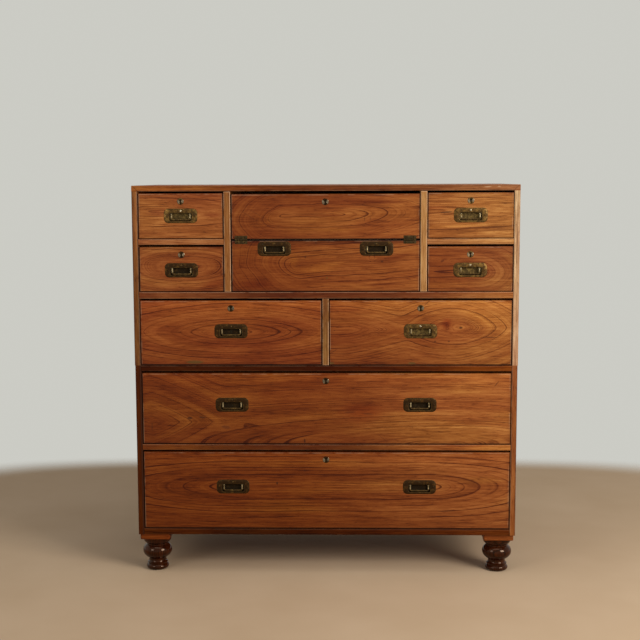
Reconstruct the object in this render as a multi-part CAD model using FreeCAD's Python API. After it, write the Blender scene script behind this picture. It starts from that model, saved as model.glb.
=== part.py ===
"""Campaign chest: two stacking cases with nine drawers, a fall-front secretaire and turned feet.

Millimetres. X runs to the right, Y into the chest, Z up.
The origin is on the floor, under the middle of the chest, and the front is towards -Y.
"""
import FreeCAD, Part
import math
import os

from FreeCAD import Vector

os.makedirs("parts", exist_ok=True)

# ---- cases: widths, depth and boards --------------------------------------------------
case_width = 1037.0            # upper case, outside
lower_case_step = 1.0          # the lower case is this much narrower at each side
case_depth = 457.0             # both cases, outside
side_thickness = 16.0
back_thickness = 10.0
back_board_count = 3           # boards in each case's back
back_board_round = 1.0
dust_board_thickness = 9.0
rail_depth = 70.0              # front to back, of each rail's solid front board
bead_radius = 3.0              # rounded inner front edges of sides, rails and partitions
outer_edge_radius = 1.5

# ---- heights, from the floor up -------------------------------------------------------
foot_height = 92.6
foot_block_height = 15.4
bottom_board_thickness = 17.0
long_lower_opening = 220.0
lower_rail_thickness = 16.8
long_upper_opening = 201.2
lower_top_thickness = 16.5
upper_bottom_thickness = 14.0
half_drawer_opening = 181.5    # measured from the seam between the two cases
cross_rail_thickness = 18.5
middle_opening = 126.5
small_rail_thickness = 16.2
top_opening = 126.8
top_board_thickness = 16.0

# ---- partitions -----------------------------------------------------------------------
secretaire_partition_offset = 263.0    # middle of the chest to the middle of a partition
secretaire_partition_thickness = 19.0
half_partition_thickness = 18.0

# ---- drawers --------------------------------------------------------------------------
drawer_front_thickness = 18.0
face_recess = 2.0              # the fronts lie this far behind the beaded edges
front_side_gap = 1.2
front_bottom_gap = 1.0
front_top_gap = 5.0
front_edge_round = 0.8
drawer_side_thickness = 10.0
drawer_back_thickness = 9.0
drawer_bottom_thickness = 6.0
drawer_bottom_raise = 7.0      # underside of the bottom above the edge of the sides
groove_depth = 4.0
groove_clearance = 0.1
runner_clearance = 0.3
side_running_gap = 1.6         # drawer side to case side or partition
drawer_side_drop = 3.0         # top of the sides below the top of the front
drawer_back_drop = 8.0
rear_clearance = 4.0
stop_clearance = 0.5           # half-width fronts to the upper case's bottom board

# ---- flush handles --------------------------------------------------------------------
plate_width = 90.0
plate_height = 39.0
plate_corner_radius = 12.5
plate_thickness = 2.5
pan_width = 59.5               # opening of the pan
pan_height = 21.0
pan_top_margin = 12.5          # plate's top edge to the pan's opening
pan_corner_radius = 4.0
pan_depth = 9.5
pan_wall = 1.4
pan_floor_round = 3.0
inlay_clearance = 0.1          # brass let into wood
bail_width = 54.0
bail_bar_radius = 2.2
bail_corner_radius = 4.5
bail_pivot_drop = 3.2          # pan's top edge to the pivot
bail_pivot_depth = 2.6         # pivot behind the plate's face
bail_foot_gap = 1.2            # bail's lower bar to the pan's lower edge
trunnion_radius = 1.3
trunnion_clearance = 0.3
trunnion_reach = 1.1           # into the pan's cheek
screw_head_radius = 2.6
screw_head_height = 1.6
screw_radius = 1.3
screw_length = 11.0
screw_clearance = 0.05
end_screw_offset = 37.4
top_screw_rise = 13.2

# Handle centre above the lower edge of its front.
top_handle_rise = 61.0
middle_handle_rise = 57.5
secretaire_handle_rise = 115.0
half_handle_rise = 92.2
long_upper_handle_rise = 108.3
long_lower_handle_rise = 117.0
wide_handle_offset = 255.3     # from the middle of a full-width front
secretaire_handle_offset = 137.0

# ---- locks ----------------------------------------------------------------------------
escutcheon_radius = 9.0
escutcheon_thickness = 2.0
keyhole_drop = 21.2            # top of the front to the middle of the keyhole
keyhole_radius = 2.9
keyhole_slot_width = 3.2
keyhole_slot_length = 10.0
keyway_clearance = 0.5
lock_width = 56.0
lock_height = 38.0
lock_thickness = 8.0
lock_rise = 14.0               # keyhole to the top of the lock case
lock_clearance = 0.1
selvedge_thickness = 2.0

# ---- secretaire -----------------------------------------------------------------------
hinge_height = 140.0           # fall hinge above the floor of its opening
fall_gap = 1.0                 # each side of the hinge line
fall_top_gap = 7.5
fall_rest_clearance = 0.6      # fall to the carcase behind it
hinge_width = 34.0
hinge_leaf_height = 11.0       # each leaf, from the hinge line
hinge_leaf_thickness = 1.8
hinge_edge_margin = 9.3        # leaf to the end of the front
hinge_pin_depth = 0.5          # pin behind the face
hinge_knuckle_radius = 2.3
hinge_pin_radius = 0.9
hinge_pin_clearance = 0.15
hinge_knuckles = 5
hinge_knuckle_gap = 0.3
hinge_knuckle_clearance = 0.4  # knuckle to wood
hinge_root_height = 2.0        # leaf metal beside each knuckle
carcase_side_thickness = 12.0
desk_board_thickness = 11.0
desk_board_gap = 0.4
stay_radius = 80.0             # quadrant stay, hinge pin to the middle of the arc
stay_width = 7.0
stay_thickness = 2.0
stay_side_gap = 0.6
stay_tail_angle = 20.0         # below the hinge line when shut
stay_overrun_angle = 4.0       # arc carried on into its foot
stay_foot_length = 26.0
stay_foot_thickness = 2.0
stay_slot_clearance = 1.2
ledge_size = 9.0
leather_margin = 16.0
leather_thickness = 1.2
pigeonhole_count = 5
pigeonhole_depth = 150.0
pigeonhole_board = 6.0
pigeonhole_top_gap = 4.0
pigeonhole_side_gap = 0.4

# ---- feet and pegs --------------------------------------------------------------------
foot_block_width = 82.0
foot_block_inset = 3.5
block_corner_radius = 4.5
block_edge_radius = 1.2
foot_sole_radius = 24.0
foot_bead_radius = 31.0
foot_bead_height = 16.0
foot_groove_radius = 26.5
foot_flare_radius = 28.3
foot_neck_radius = 23.5
foot_neck_base = 20.0
foot_bulb_base = 36.0
foot_bulb_radius = 40.5
foot_bulb_height = 35.0
foot_bulb_end_radius = 30.3
foot_collar_radius = 29.5
foot_collar_height = 3.0
foot_cap_radius = 38.5
foot_cap_flare = 10.0
foot_cap_bulge = 1.6
foot_spigot_radius = 13.0
foot_spigot_height = 14.0
spigot_clearance = 0.2
peg_radius = 8.0
peg_height = 11.0
peg_tip_taper = 2.0
peg_clearance = 0.5
peg_side_inset = 60.0
peg_front_inset = 90.0

overcut = 1.0                  # how far a cutting shape runs past the surface it cuts

# ---- levels and planes that follow from the sizes above -------------------------------
half_width = case_width / 2
inner_half = half_width - side_thickness
lower_half_width = half_width - lower_case_step
lower_inner_half = lower_half_width - side_thickness
half_case_depth = case_depth / 2
front_y = -half_case_depth
back_y = half_case_depth
back_inner_y = back_y - back_thickness
face_y = front_y + face_recess
front_rear_y = face_y + drawer_front_thickness

case_base_z = foot_height + foot_block_height
long_lower_floor_z = case_base_z + bottom_board_thickness
lower_rail_z = long_lower_floor_z + long_lower_opening
long_upper_floor_z = lower_rail_z + lower_rail_thickness
lower_top_z = long_upper_floor_z + long_upper_opening
seam_z = lower_top_z + lower_top_thickness
half_floor_z = seam_z + upper_bottom_thickness
cross_rail_z = seam_z + half_drawer_opening
middle_floor_z = cross_rail_z + cross_rail_thickness
small_rail_z = middle_floor_z + middle_opening
top_floor_z = small_rail_z + small_rail_thickness
top_ceiling_z = top_floor_z + top_opening
top_z = top_ceiling_z + top_board_thickness

partition_inner_x = secretaire_partition_offset - secretaire_partition_thickness / 2
partition_outer_x = secretaire_partition_offset + secretaire_partition_thickness / 2
half_partition_x = half_partition_thickness / 2
bottom_board_front_y = front_rear_y + stop_clearance

hinge_z = middle_floor_z + hinge_height
hinge_y = face_y + hinge_pin_depth
fall_thickness = drawer_front_thickness - fall_rest_clearance
fall_rear_y = face_y + fall_thickness
desk_top_z = hinge_z + fall_thickness - hinge_pin_depth
drawer_rear_y = back_inner_y - rear_clearance

pan_centre_rise = plate_height / 2 - pan_top_margin - pan_height / 2
bail_pivot_rise = plate_height / 2 - pan_top_margin - bail_pivot_drop


# ---- shape helpers --------------------------------------------------------------------
def box(x0, x1, y0, y1, z0, z1):
    """A block between two values on each axis."""
    return Part.makeBox(x1 - x0, y1 - y0, z1 - z0, Vector(x0, y0, z0))


def mirrored(shape):
    """The same piece on the other side of the chest."""
    return shape.mirror(Vector(0, 0, 0), Vector(1, 0, 0))


def edges_where(shape, test):
    """Straight edges whose two end points both pass the test."""
    found = []
    for edge in shape.Edges:
        ends = [vertex.Point for vertex in edge.Vertexes]
        if len(ends) == 2 and all(test(point) for point in ends):
            found.append(edge)
    return found


def near(value, target):
    return abs(value - target) < 1e-4


def round_edges(shape, radius, test):
    return shape.makeFillet(radius, edges_where(shape, test))


def beaded_rail(x0, x1, z0, z1, rear_y):
    """A board across the chest whose front edge is rounded above and below."""
    board = box(x0, x1, front_y, rear_y, z0, z1)
    lower = edges_where(board, lambda p: near(p.y, front_y) and near(p.z, z0))
    upper = edges_where(board, lambda p: near(p.y, front_y) and near(p.z, z1))
    return board.makeFillet(bead_radius, lower + upper)


def rounded_plate(width, height, radius, y0, y1):
    """An upright plate with round corners, centred on X and Z, between y0 and y1."""
    plate = box(-width / 2, width / 2, y0, y1, -height / 2, height / 2)
    corners = [edge for edge in plate.Edges if near(edge.Vertexes[0].X, edge.Vertexes[1].X)
               and near(edge.Vertexes[0].Z, edge.Vertexes[1].Z)]
    return plate.makeFillet(radius, corners)


def rod_y(radius, x, z, y0, y1):
    """A round bar along Y."""
    return Part.makeCylinder(radius, y1 - y0, Vector(x, y0, z), Vector(0, 1, 0))


def rod_x(radius, y, z, x0, x1):
    """A round bar along X."""
    return Part.makeCylinder(radius, x1 - x0, Vector(x0, y, z), Vector(1, 0, 0))


def rod_z(radius, x, y, z0, z1):
    """A round bar along Z."""
    return Part.makeCylinder(radius, z1 - z0, Vector(x, y, z0), Vector(0, 0, 1))


def write_node(name, solids):
    """One STEP file per sub-part: a single solid, or a group of separate solids."""
    shape = solids[0] if len(solids) == 1 else Part.makeCompound(solids)
    shape.exportStep("parts/" + name + ".step")


# ---- brass ----------------------------------------------------------------------------
def handle_plate():
    """Cast flush plate with its pan, for a handle centred on the origin, face at y = 0."""
    plate = rounded_plate(plate_width, plate_height, plate_corner_radius, 0, plate_thickness)
    shell = rounded_plate(pan_width + 2 * pan_wall, pan_height + 2 * pan_wall,
                          pan_corner_radius + pan_wall, 0, pan_depth + pan_wall)
    hollow = rounded_plate(pan_width, pan_height, pan_corner_radius, -overcut, pan_depth)
    floor = [edge for edge in hollow.Edges
             if all(near(vertex.Y, pan_depth) for vertex in edge.Vertexes)]
    hollow = hollow.makeFillet(pan_floor_round, floor)
    lift = Vector(0, 0, pan_centre_rise)
    shell.translate(lift)
    hollow.translate(lift)
    reach = pan_width / 2 + trunnion_reach + trunnion_clearance
    sockets = rod_x(trunnion_radius + trunnion_clearance, bail_pivot_depth,
                    bail_pivot_rise, -reach, reach)
    casting = plate.fuse(shell).cut(hollow).cut(sockets).removeSplitter()
    for x, z in screw_places():
        casting = casting.cut(screw(x, z, screw_clearance))
    return casting.Solids[0]


def handle_pocket():
    """The wood cut away for one handle, with room for the brass."""
    gap = inlay_clearance
    plate = rounded_plate(plate_width + 2 * gap, plate_height + 2 * gap,
                          plate_corner_radius + gap, -overcut, plate_thickness + gap)
    pan = rounded_plate(pan_width + 2 * pan_wall + 2 * gap, pan_height + 2 * pan_wall + 2 * gap,
                        pan_corner_radius + pan_wall + gap, -overcut, pan_depth + pan_wall + gap)
    pan.translate(Vector(0, 0, pan_centre_rise))
    pocket = plate.fuse(pan)
    for x, z in screw_places():
        pocket = pocket.fuse(screw(x, z, screw_clearance))
    return pocket


def screw_places():
    return ((-end_screw_offset, 0), (end_screw_offset, 0), (0, top_screw_rise))


def screw(x, z, extra=0.0):
    """A countersunk screw along Y with its head flush at y = 0."""
    head = Part.makeCone(screw_head_radius + extra, screw_radius + extra, screw_head_height,
                         Vector(x, 0, z), Vector(0, 1, 0))
    shank = rod_y(screw_radius + extra, x, z, screw_head_height, screw_length + extra)
    return head.fuse(shank).removeSplitter()


def bail():
    """Swinging grip that hangs from two trunnions, for a handle centred on the origin."""
    bar_z = (pan_centre_rise - pan_height / 2 + bail_foot_gap + bail_bar_radius)
    arm_x = bail_width / 2 - bail_bar_radius
    bend = bail_corner_radius
    y = bail_pivot_depth
    start = Vector(-arm_x, y, bail_pivot_rise)
    middle = bend * (1 - math.sqrt(0.5))
    path = [
        Part.LineSegment(start, Vector(-arm_x, y, bar_z + bend)).toShape(),
        Part.Arc(Vector(-arm_x, y, bar_z + bend), Vector(-arm_x + middle, y, bar_z + middle),
                 Vector(-arm_x + bend, y, bar_z)).toShape(),
        Part.LineSegment(Vector(-arm_x + bend, y, bar_z), Vector(arm_x - bend, y, bar_z)).toShape(),
        Part.Arc(Vector(arm_x - bend, y, bar_z), Vector(arm_x - middle, y, bar_z + middle),
                 Vector(arm_x, y, bar_z + bend)).toShape(),
        Part.LineSegment(Vector(arm_x, y, bar_z + bend), Vector(arm_x, y, bail_pivot_rise)).toShape(),
    ]
    section = Part.Wire(Part.makeCircle(bail_bar_radius, start, Vector(0, 0, -1)))
    grip = Part.Wire(path).makePipeShell([section], True, False)
    reach = pan_width / 2 + trunnion_reach
    shape = grip
    for side in (-1, 1):
        hub = Part.makeSphere(bail_bar_radius, Vector(side * arm_x, y, bail_pivot_rise))
        ends = sorted((side * arm_x, side * reach))
        trunnion = rod_x(trunnion_radius, y, bail_pivot_rise, ends[0], ends[1])
        shape = shape.fuse(hub).fuse(trunnion)
    return shape.removeSplitter().Solids[0]


def keyhole(y0, y1, extra=0.0):
    """Round hole with a slot below it, along Y, centred on the origin."""
    head = rod_y(keyhole_radius + extra, 0, keyhole_slot_length / 4, y0, y1)
    width = keyhole_slot_width / 2 + extra
    slot = box(-width, width, y0, y1, keyhole_slot_length / 4 - keyhole_slot_length - extra,
               keyhole_slot_length / 4)
    return head.fuse(slot)


def escutcheon():
    disc = rod_y(escutcheon_radius, 0, 0, 0, escutcheon_thickness)
    return disc.cut(keyhole(-overcut, escutcheon_thickness + overcut)).Solids[0]


def lock(thickness):
    """Cut lock let into the back of a front of this thickness, with the keyhole at x = z = 0."""
    rear = thickness
    case = box(-lock_width / 2, lock_width / 2, rear - lock_thickness, rear,
               lock_rise - lock_height, lock_rise)
    top = keyhole_drop
    selvedge = box(-lock_width / 2, lock_width / 2, rear - lock_thickness, rear,
                   top - selvedge_thickness, top)
    neck = box(-lock_width / 2, lock_width / 2, rear - selvedge_thickness, rear, lock_rise, top)
    bored = case.cut(keyhole(rear - lock_thickness - overcut, rear - lock_thickness / 2))
    return bored.fuse(neck).fuse(selvedge).removeSplitter().Solids[0]


def lock_pocket(thickness):
    """The wood cut away for the escutcheon, the key's way and the lock."""
    gap = lock_clearance
    disc = rod_y(escutcheon_radius + gap, 0, 0, -overcut, escutcheon_thickness + gap)
    way = keyhole(-overcut, thickness - lock_thickness, keyway_clearance)
    case = box(-lock_width / 2 - gap, lock_width / 2 + gap, thickness - lock_thickness - gap,
               thickness + overcut, lock_rise - lock_height - gap, keyhole_drop + overcut)
    return disc.fuse(way).fuse(case)


# ---- drawers --------------------------------------------------------------------------
def moved(shape, x, y, z):
    copy = shape.copy()
    copy.translate(Vector(x, y, z))
    return copy


plate_master = handle_plate()
pocket_master = handle_pocket()
bail_master = bail()
escutcheon_master = escutcheon()
screw_masters = [screw(x, z) for x, z in screw_places()]


def handle_brass(x, z):
    """Plate and its three screws for a handle centred at x, z."""
    pieces = [moved(plate_master, x, face_y, z)]
    for master in screw_masters:
        pieces.append(moved(master, x, face_y, z))
    return pieces


def drawer_front(x0, x1, z0, z1, thickness, handles, lock_x, lock_z):
    """A front board, eased all round, cut for its handles and its lock."""
    board = box(x0, x1, face_y, face_y + thickness, z0, z1)
    board = round_edges(board, front_edge_round, lambda p: near(p.y, face_y))
    for x, z in handles:
        board = board.cut(moved(pocket_master, x, face_y, z))
    if lock_z is not None:
        board = board.cut(moved(lock_pocket(thickness), lock_x, face_y, lock_z))
    return board.Solids[0]


def drawer_box(x0, x1, z0, side_top, back_top, side_board):
    """Two sides, a back and a bottom; the bottom runs in grooves and under the back."""
    bottom_z = z0 + drawer_bottom_raise
    inner0 = x0 + side_board
    inner1 = x1 - side_board
    back_front_y = drawer_rear_y - drawer_back_thickness
    bottom = box(inner0 - groove_depth, inner1 + groove_depth, front_rear_y, drawer_rear_y,
                 bottom_z, bottom_z + drawer_bottom_thickness)
    groove = box(inner0 - groove_depth - groove_clearance, inner1 + groove_depth + groove_clearance,
                 front_rear_y - overcut, drawer_rear_y + overcut, bottom_z,
                 bottom_z + drawer_bottom_thickness + groove_clearance)
    left = box(x0, inner0, front_rear_y, drawer_rear_y, z0, side_top).cut(groove)
    right = box(inner1, x1, front_rear_y, drawer_rear_y, z0, side_top).cut(groove)
    back = box(inner0, inner1, back_front_y, drawer_rear_y,
               bottom_z + drawer_bottom_thickness + groove_clearance, back_top)
    return [left, right, back, bottom]


def write_drawer(name, x0, x1, floor_z, front_z0, front_z1, handle_xs, handle_rise):
    """One ordinary drawer between the faces x0 and x1 of its opening."""
    middle = (x0 + x1) / 2
    handles = [(x, front_z0 + handle_rise) for x in handle_xs]
    lock_z = front_z1 - keyhole_drop
    front = drawer_front(x0 + front_side_gap, x1 - front_side_gap, front_z0, front_z1,
                         drawer_front_thickness, handles, middle, lock_z)
    side_top = front_z1 - drawer_side_drop
    tray = drawer_box(x0 + side_running_gap, x1 - side_running_gap, floor_z + runner_clearance,
                      side_top, side_top - drawer_back_drop, drawer_side_thickness)
    brass = []
    for x, z in handles:
        brass += handle_brass(x, z)
    brass.append(moved(escutcheon_master, middle, face_y, lock_z))
    brass.append(moved(lock(drawer_front_thickness), middle, face_y, lock_z))
    write_node(name + "_front", [front])
    write_node(name + "_box", tray)
    write_node(name + "_brass", brass)
    labels = [""] if len(handles) == 1 else ["_left", "_right"]
    for label, (x, z) in zip(labels, handles):
        write_node(name + "_bail" + label, [moved(bail_master, x, face_y, z)])


def write_small_drawers():
    rows = (("top", top_floor_z, top_ceiling_z, top_handle_rise),
            ("middle", middle_floor_z, small_rail_z, middle_handle_rise))
    for row, floor_z, ceiling_z, rise in rows:
        for side, label in ((-1, "left"), (1, "right")):
            x0, x1 = sorted((side * partition_outer_x, side * inner_half))
            write_drawer(row + "_" + label + "_drawer", x0, x1, floor_z,
                         floor_z + front_bottom_gap, ceiling_z - front_top_gap,
                         [(x0 + x1) / 2], rise)


def write_half_drawers():
    for side, label in ((-1, "left"), (1, "right")):
        x0, x1 = sorted((side * half_partition_x, side * inner_half))
        write_drawer("half_" + label + "_drawer", x0, x1, half_floor_z,
                     seam_z + front_bottom_gap, cross_rail_z - front_top_gap,
                     [(x0 + x1) / 2], half_handle_rise)


def write_long_drawers():
    rows = (("long_upper_drawer", long_upper_floor_z, lower_top_z, long_upper_handle_rise),
            ("long_lower_drawer", long_lower_floor_z, lower_rail_z, long_lower_handle_rise))
    for name, floor_z, ceiling_z, rise in rows:
        write_drawer(name, -lower_inner_half, lower_inner_half, floor_z,
                     floor_z + front_bottom_gap, ceiling_z - front_top_gap,
                     [-wide_handle_offset, wide_handle_offset], rise)


# ---- secretaire -----------------------------------------------------------------------
def knuckle_spans(x0):
    """Start and end of each hinge knuckle, from the hinge's left end."""
    pitch = hinge_width / hinge_knuckles
    trim = hinge_knuckle_gap / 2
    return [(x0 + i * pitch + trim, x0 + (i + 1) * pitch - trim) for i in range(hinge_knuckles)]


def hinge_leaf(x0, direction, own_knuckles):
    """A leaf let into the face, above (+1) or below (-1) the hinge line, with its knuckles."""
    near_z = hinge_z + direction * fall_gap
    far_z = hinge_z + direction * hinge_leaf_height
    z0, z1 = sorted((near_z, far_z))
    leaf = box(x0, x0 + hinge_width, face_y, face_y + hinge_leaf_thickness, z0, z1)
    spans = knuckle_spans(x0)
    hollow = rod_x(hinge_knuckle_radius + hinge_knuckle_gap, hinge_y, hinge_z,
                   x0 - overcut, x0 + hinge_width + overcut)
    leaf = leaf.cut(hollow)
    for index in own_knuckles:
        a, b = spans[index]
        knuckle = rod_x(hinge_knuckle_radius, hinge_y, hinge_z, a, b)
        root_reach = hinge_knuckle_radius + hinge_root_height
        root_z0, root_z1 = sorted((hinge_z, hinge_z + direction * root_reach))
        root = box(a, b, face_y, face_y + hinge_leaf_thickness, root_z0, root_z1)
        leaf = leaf.fuse(knuckle).fuse(root)
    bore = rod_x(hinge_pin_radius + hinge_pin_clearance, hinge_y, hinge_z,
                 x0 - overcut, x0 + hinge_width + overcut)
    return leaf.cut(bore).removeSplitter().Solids[0]


def hinge_pocket(x0, direction):
    """Wood cut away for a leaf and for the knuckles."""
    gap = inlay_clearance
    near_z = hinge_z + direction * (fall_gap - overcut)
    far_z = hinge_z + direction * (hinge_leaf_height + gap)
    z0, z1 = sorted((near_z, far_z))
    leaf = box(x0 - gap, x0 + hinge_width + gap, face_y - overcut,
               face_y + hinge_leaf_thickness + gap, z0, z1)
    room = rod_x(hinge_knuckle_radius + hinge_knuckle_clearance, hinge_y, hinge_z,
                 x0 - gap, x0 + hinge_width + gap)
    return leaf.fuse(room)


def ring_sector(x0, x1, inner_radius, outer_radius, low_angle, high_angle):
    """Part of a flat ring about the hinge pin, between two angles in degrees above +Y."""
    def at(radius, angle):
        turn = math.radians(angle)
        return Vector(x0, hinge_y + radius * math.cos(turn), hinge_z + radius * math.sin(turn))

    middle = (low_angle + high_angle) / 2
    outline = [
        Part.Arc(at(outer_radius, low_angle), at(outer_radius, middle),
                 at(outer_radius, high_angle)).toShape(),
        Part.LineSegment(at(outer_radius, high_angle), at(inner_radius, high_angle)).toShape(),
        Part.Arc(at(inner_radius, high_angle), at(inner_radius, middle),
                 at(inner_radius, low_angle)).toShape(),
        Part.LineSegment(at(inner_radius, low_angle), at(outer_radius, low_angle)).toShape(),
    ]
    return Part.Face(Part.Wire(outline)).extrude(Vector(x1 - x0, 0, 0))


def quadrant_stay(x0, x1):
    """Brass quadrant fixed to the inside of the fall, and its screwed foot."""
    foot_angle = math.degrees(math.acos((fall_thickness - hinge_pin_depth) / stay_radius))
    arc = ring_sector(x0, x1, stay_radius - stay_width / 2, stay_radius + stay_width / 2,
                      -stay_tail_angle, foot_angle + stay_overrun_angle)
    wall = box(x0 - overcut, x1 + overcut, front_y, fall_rear_y, hinge_z, top_z)
    arc = arc.cut(wall)
    rise = stay_radius * math.sin(math.radians(foot_angle))
    foot = box(x0, x1, fall_rear_y, fall_rear_y + stay_foot_thickness,
               hinge_z + rise - stay_foot_length / 2, hinge_z + rise + stay_foot_length / 2)
    return arc.fuse(foot).removeSplitter().Solids[0]


secretaire_x = partition_inner_x
secretaire_front_x = secretaire_x - front_side_gap
carcase_x = secretaire_x - side_running_gap
carcase_inner_x = carcase_x - carcase_side_thickness
secretaire_bottom_z = middle_floor_z + front_bottom_gap
lower_front_top_z = hinge_z - fall_gap
fall_bottom_z = hinge_z + fall_gap
fall_top_z = top_ceiling_z - fall_top_gap
carcase_top_z = fall_top_z - drawer_side_drop
hinge_starts = (-secretaire_front_x + hinge_edge_margin,
                secretaire_front_x - hinge_edge_margin - hinge_width)
stay_x0 = carcase_inner_x - stay_side_gap - stay_thickness
stay_x1 = carcase_inner_x - stay_side_gap
desk_front_y = fall_rear_y + fall_rest_clearance
pigeonhole_front_y = drawer_rear_y - drawer_back_thickness - pigeonhole_depth
stay_slot_rear_y = hinge_y + stay_radius + stay_width / 2 + stay_slot_clearance


def write_secretaire_front():
    handles = [(x, secretaire_bottom_z + secretaire_handle_rise)
               for x in (-secretaire_handle_offset, secretaire_handle_offset)]
    front = drawer_front(-secretaire_front_x, secretaire_front_x, secretaire_bottom_z,
                         lower_front_top_z, drawer_front_thickness, handles, 0, None)
    brass = []
    for start in hinge_starts:
        front = front.cut(hinge_pocket(start, -1))
        brass.append(hinge_leaf(start, -1, range(0, hinge_knuckles, 2)))
        brass.append(rod_x(hinge_pin_radius, hinge_y, hinge_z, start, start + hinge_width))
    for x, z in handles:
        brass += handle_brass(x, z)
    write_node("secretaire_drawer_front", [front.Solids[0]])
    write_node("secretaire_drawer_brass", brass)
    for label, (x, z) in zip(("_left", "_right"), handles):
        write_node("secretaire_drawer_bail" + label, [moved(bail_master, x, face_y, z)])


def write_secretaire_carcase():
    """Drawer body of the secretaire, with ledges under the lift-out writing board."""
    solids = drawer_box(-carcase_x, carcase_x, middle_floor_z + runner_clearance, carcase_top_z,
                        carcase_top_z, carcase_side_thickness)
    board_z = desk_top_z - desk_board_thickness
    ledge_z = board_z - ledge_size
    for side in (-1, 1):
        x0, x1 = sorted((side * carcase_inner_x, side * (carcase_inner_x - ledge_size)))
        solids.append(box(x0, x1, stay_slot_rear_y, drawer_rear_y - drawer_back_thickness,
                          ledge_z, board_z))
    inner = stay_x0 - stay_slot_clearance
    solids.append(box(-inner, inner, front_rear_y, front_rear_y + ledge_size, ledge_z, board_z))
    write_node("secretaire_drawer_box", solids)


def write_writing_board():
    board = box(-carcase_inner_x + desk_board_gap, carcase_inner_x - desk_board_gap, desk_front_y,
                pigeonhole_front_y - desk_board_gap, desk_top_z - desk_board_thickness, desk_top_z)
    for side in (-1, 1):
        x0, x1 = sorted((side * (stay_x0 - stay_slot_clearance), side * half_width))
        board = board.cut(box(x0, x1, desk_front_y - overcut, stay_slot_rear_y, 0, top_z))
    write_node("writing_board", [board.Solids[0]])


def write_pigeonholes():
    """Shelf, top, ends and dividers of the letter rack at the back of the desk."""
    x = carcase_inner_x - pigeonhole_side_gap
    y0 = pigeonhole_front_y
    y1 = drawer_rear_y - drawer_back_thickness
    z0 = desk_top_z - desk_board_thickness
    shelf_top = z0 + desk_board_thickness
    z1 = carcase_top_z - pigeonhole_top_gap
    solids = [box(-x, x, y0, y1, z0, shelf_top), box(-x, x, y0, y1, z1 - pigeonhole_board, z1)]
    pitch = (2 * x - pigeonhole_board) / pigeonhole_count
    for i in range(pigeonhole_count + 1):
        left = -x + i * pitch
        solids.append(box(left, left + pigeonhole_board, y0, y1, shelf_top, z1 - pigeonhole_board))
    write_node("pigeonholes", solids)


def write_fall():
    """Fall front: panel, its leather lining, and brass for hinges, lock and stays."""
    lock_z = fall_top_z - keyhole_drop
    panel = drawer_front(-secretaire_front_x, secretaire_front_x, fall_bottom_z, fall_top_z,
                         fall_thickness, [], 0, lock_z)
    leather_x = stay_x0 - leather_margin
    leather_z1 = lock_z + lock_rise - lock_height - leather_margin / 2
    lining = box(-leather_x, leather_x, fall_rear_y - leather_thickness, fall_rear_y,
                 fall_bottom_z + leather_margin / 2, leather_z1)
    panel = panel.cut(lining)
    brass = [moved(escutcheon_master, 0, face_y, lock_z), moved(lock(fall_thickness), 0, face_y, lock_z)]
    for start in hinge_starts:
        panel = panel.cut(hinge_pocket(start, 1))
        brass.append(hinge_leaf(start, 1, range(1, hinge_knuckles, 2)))
    stay = quadrant_stay(stay_x0, stay_x1)
    brass += [stay, mirrored(stay)]
    write_node("fall_panel", [panel.Solids[0]])
    write_node("fall_leather", [lining])
    write_node("fall_brass", brass)


# ---- cases ----------------------------------------------------------------------------
def case_side(outer_x, inner_x, z0, z1):
    """A left or right side board: small bead inside the front edge, eased outside."""
    x0, x1 = sorted((outer_x, inner_x))
    board = box(x0, x1, front_y, back_y, z0, z1)
    board = round_edges(board, bead_radius, lambda p: near(p.y, front_y) and near(p.x, inner_x))
    board = round_edges(board, outer_edge_radius,
                        lambda p: near(p.y, front_y) and near(p.x, outer_x))
    return board


def partition(x0, x1, z0, z1):
    """An upright board between drawers, rounded on both front edges."""
    board = box(x0, x1, front_y, back_inner_y, z0, z1)
    return round_edges(board, bead_radius, lambda p: near(p.y, front_y)
                       and (near(p.x, x0) or near(p.x, x1)))


def rail_and_dust_board(x0, x1, z0, z1):
    """A rounded rail with a thin dust board behind it, flush on top."""
    rail_rear_y = front_y + rail_depth
    rail = beaded_rail(x0, x1, z0, z1, rail_rear_y)
    dust = box(x0, x1, rail_rear_y, back_inner_y, z1 - dust_board_thickness, z1)
    return [rail, dust]


def back_boards(x, z0, z1):
    """Boards laid across the back of a case, with their outer long edges rounded."""
    pitch = (z1 - z0) / back_board_count
    boards = []
    for i in range(back_board_count):
        board = box(-x, x, back_inner_y, back_y, z0 + i * pitch, z0 + (i + 1) * pitch)
        boards.append(round_edges(board, back_board_round, lambda p: near(p.y, back_y)))
    return boards


def top_bead_cutter():
    """What the bead under the top's front edge takes away, between the two sides."""
    block = box(-inner_half, inner_half, front_y - overcut, front_y + bead_radius,
                top_ceiling_z - overcut, top_ceiling_z + bead_radius)
    core = rod_x(bead_radius, front_y + bead_radius, top_ceiling_z + bead_radius,
                 -inner_half, inner_half)
    return block.cut(core)


def peg_places():
    x = lower_inner_half - peg_side_inset
    y = half_case_depth - peg_front_inset
    return [(side * x, way * y) for side in (-1, 1) for way in (-1, 1)]


def locating_peg(x, y):
    """A dowel that stands out of the lower case, with a tapered tip."""
    stem = rod_z(peg_radius, x, y, lower_top_z, seam_z + peg_height - peg_tip_taper)
    tip = Part.makeCone(peg_radius, peg_radius - peg_tip_taper, peg_tip_taper,
                        Vector(x, y, seam_z + peg_height - peg_tip_taper))
    return stem.fuse(tip).removeSplitter().Solids[0]


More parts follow.
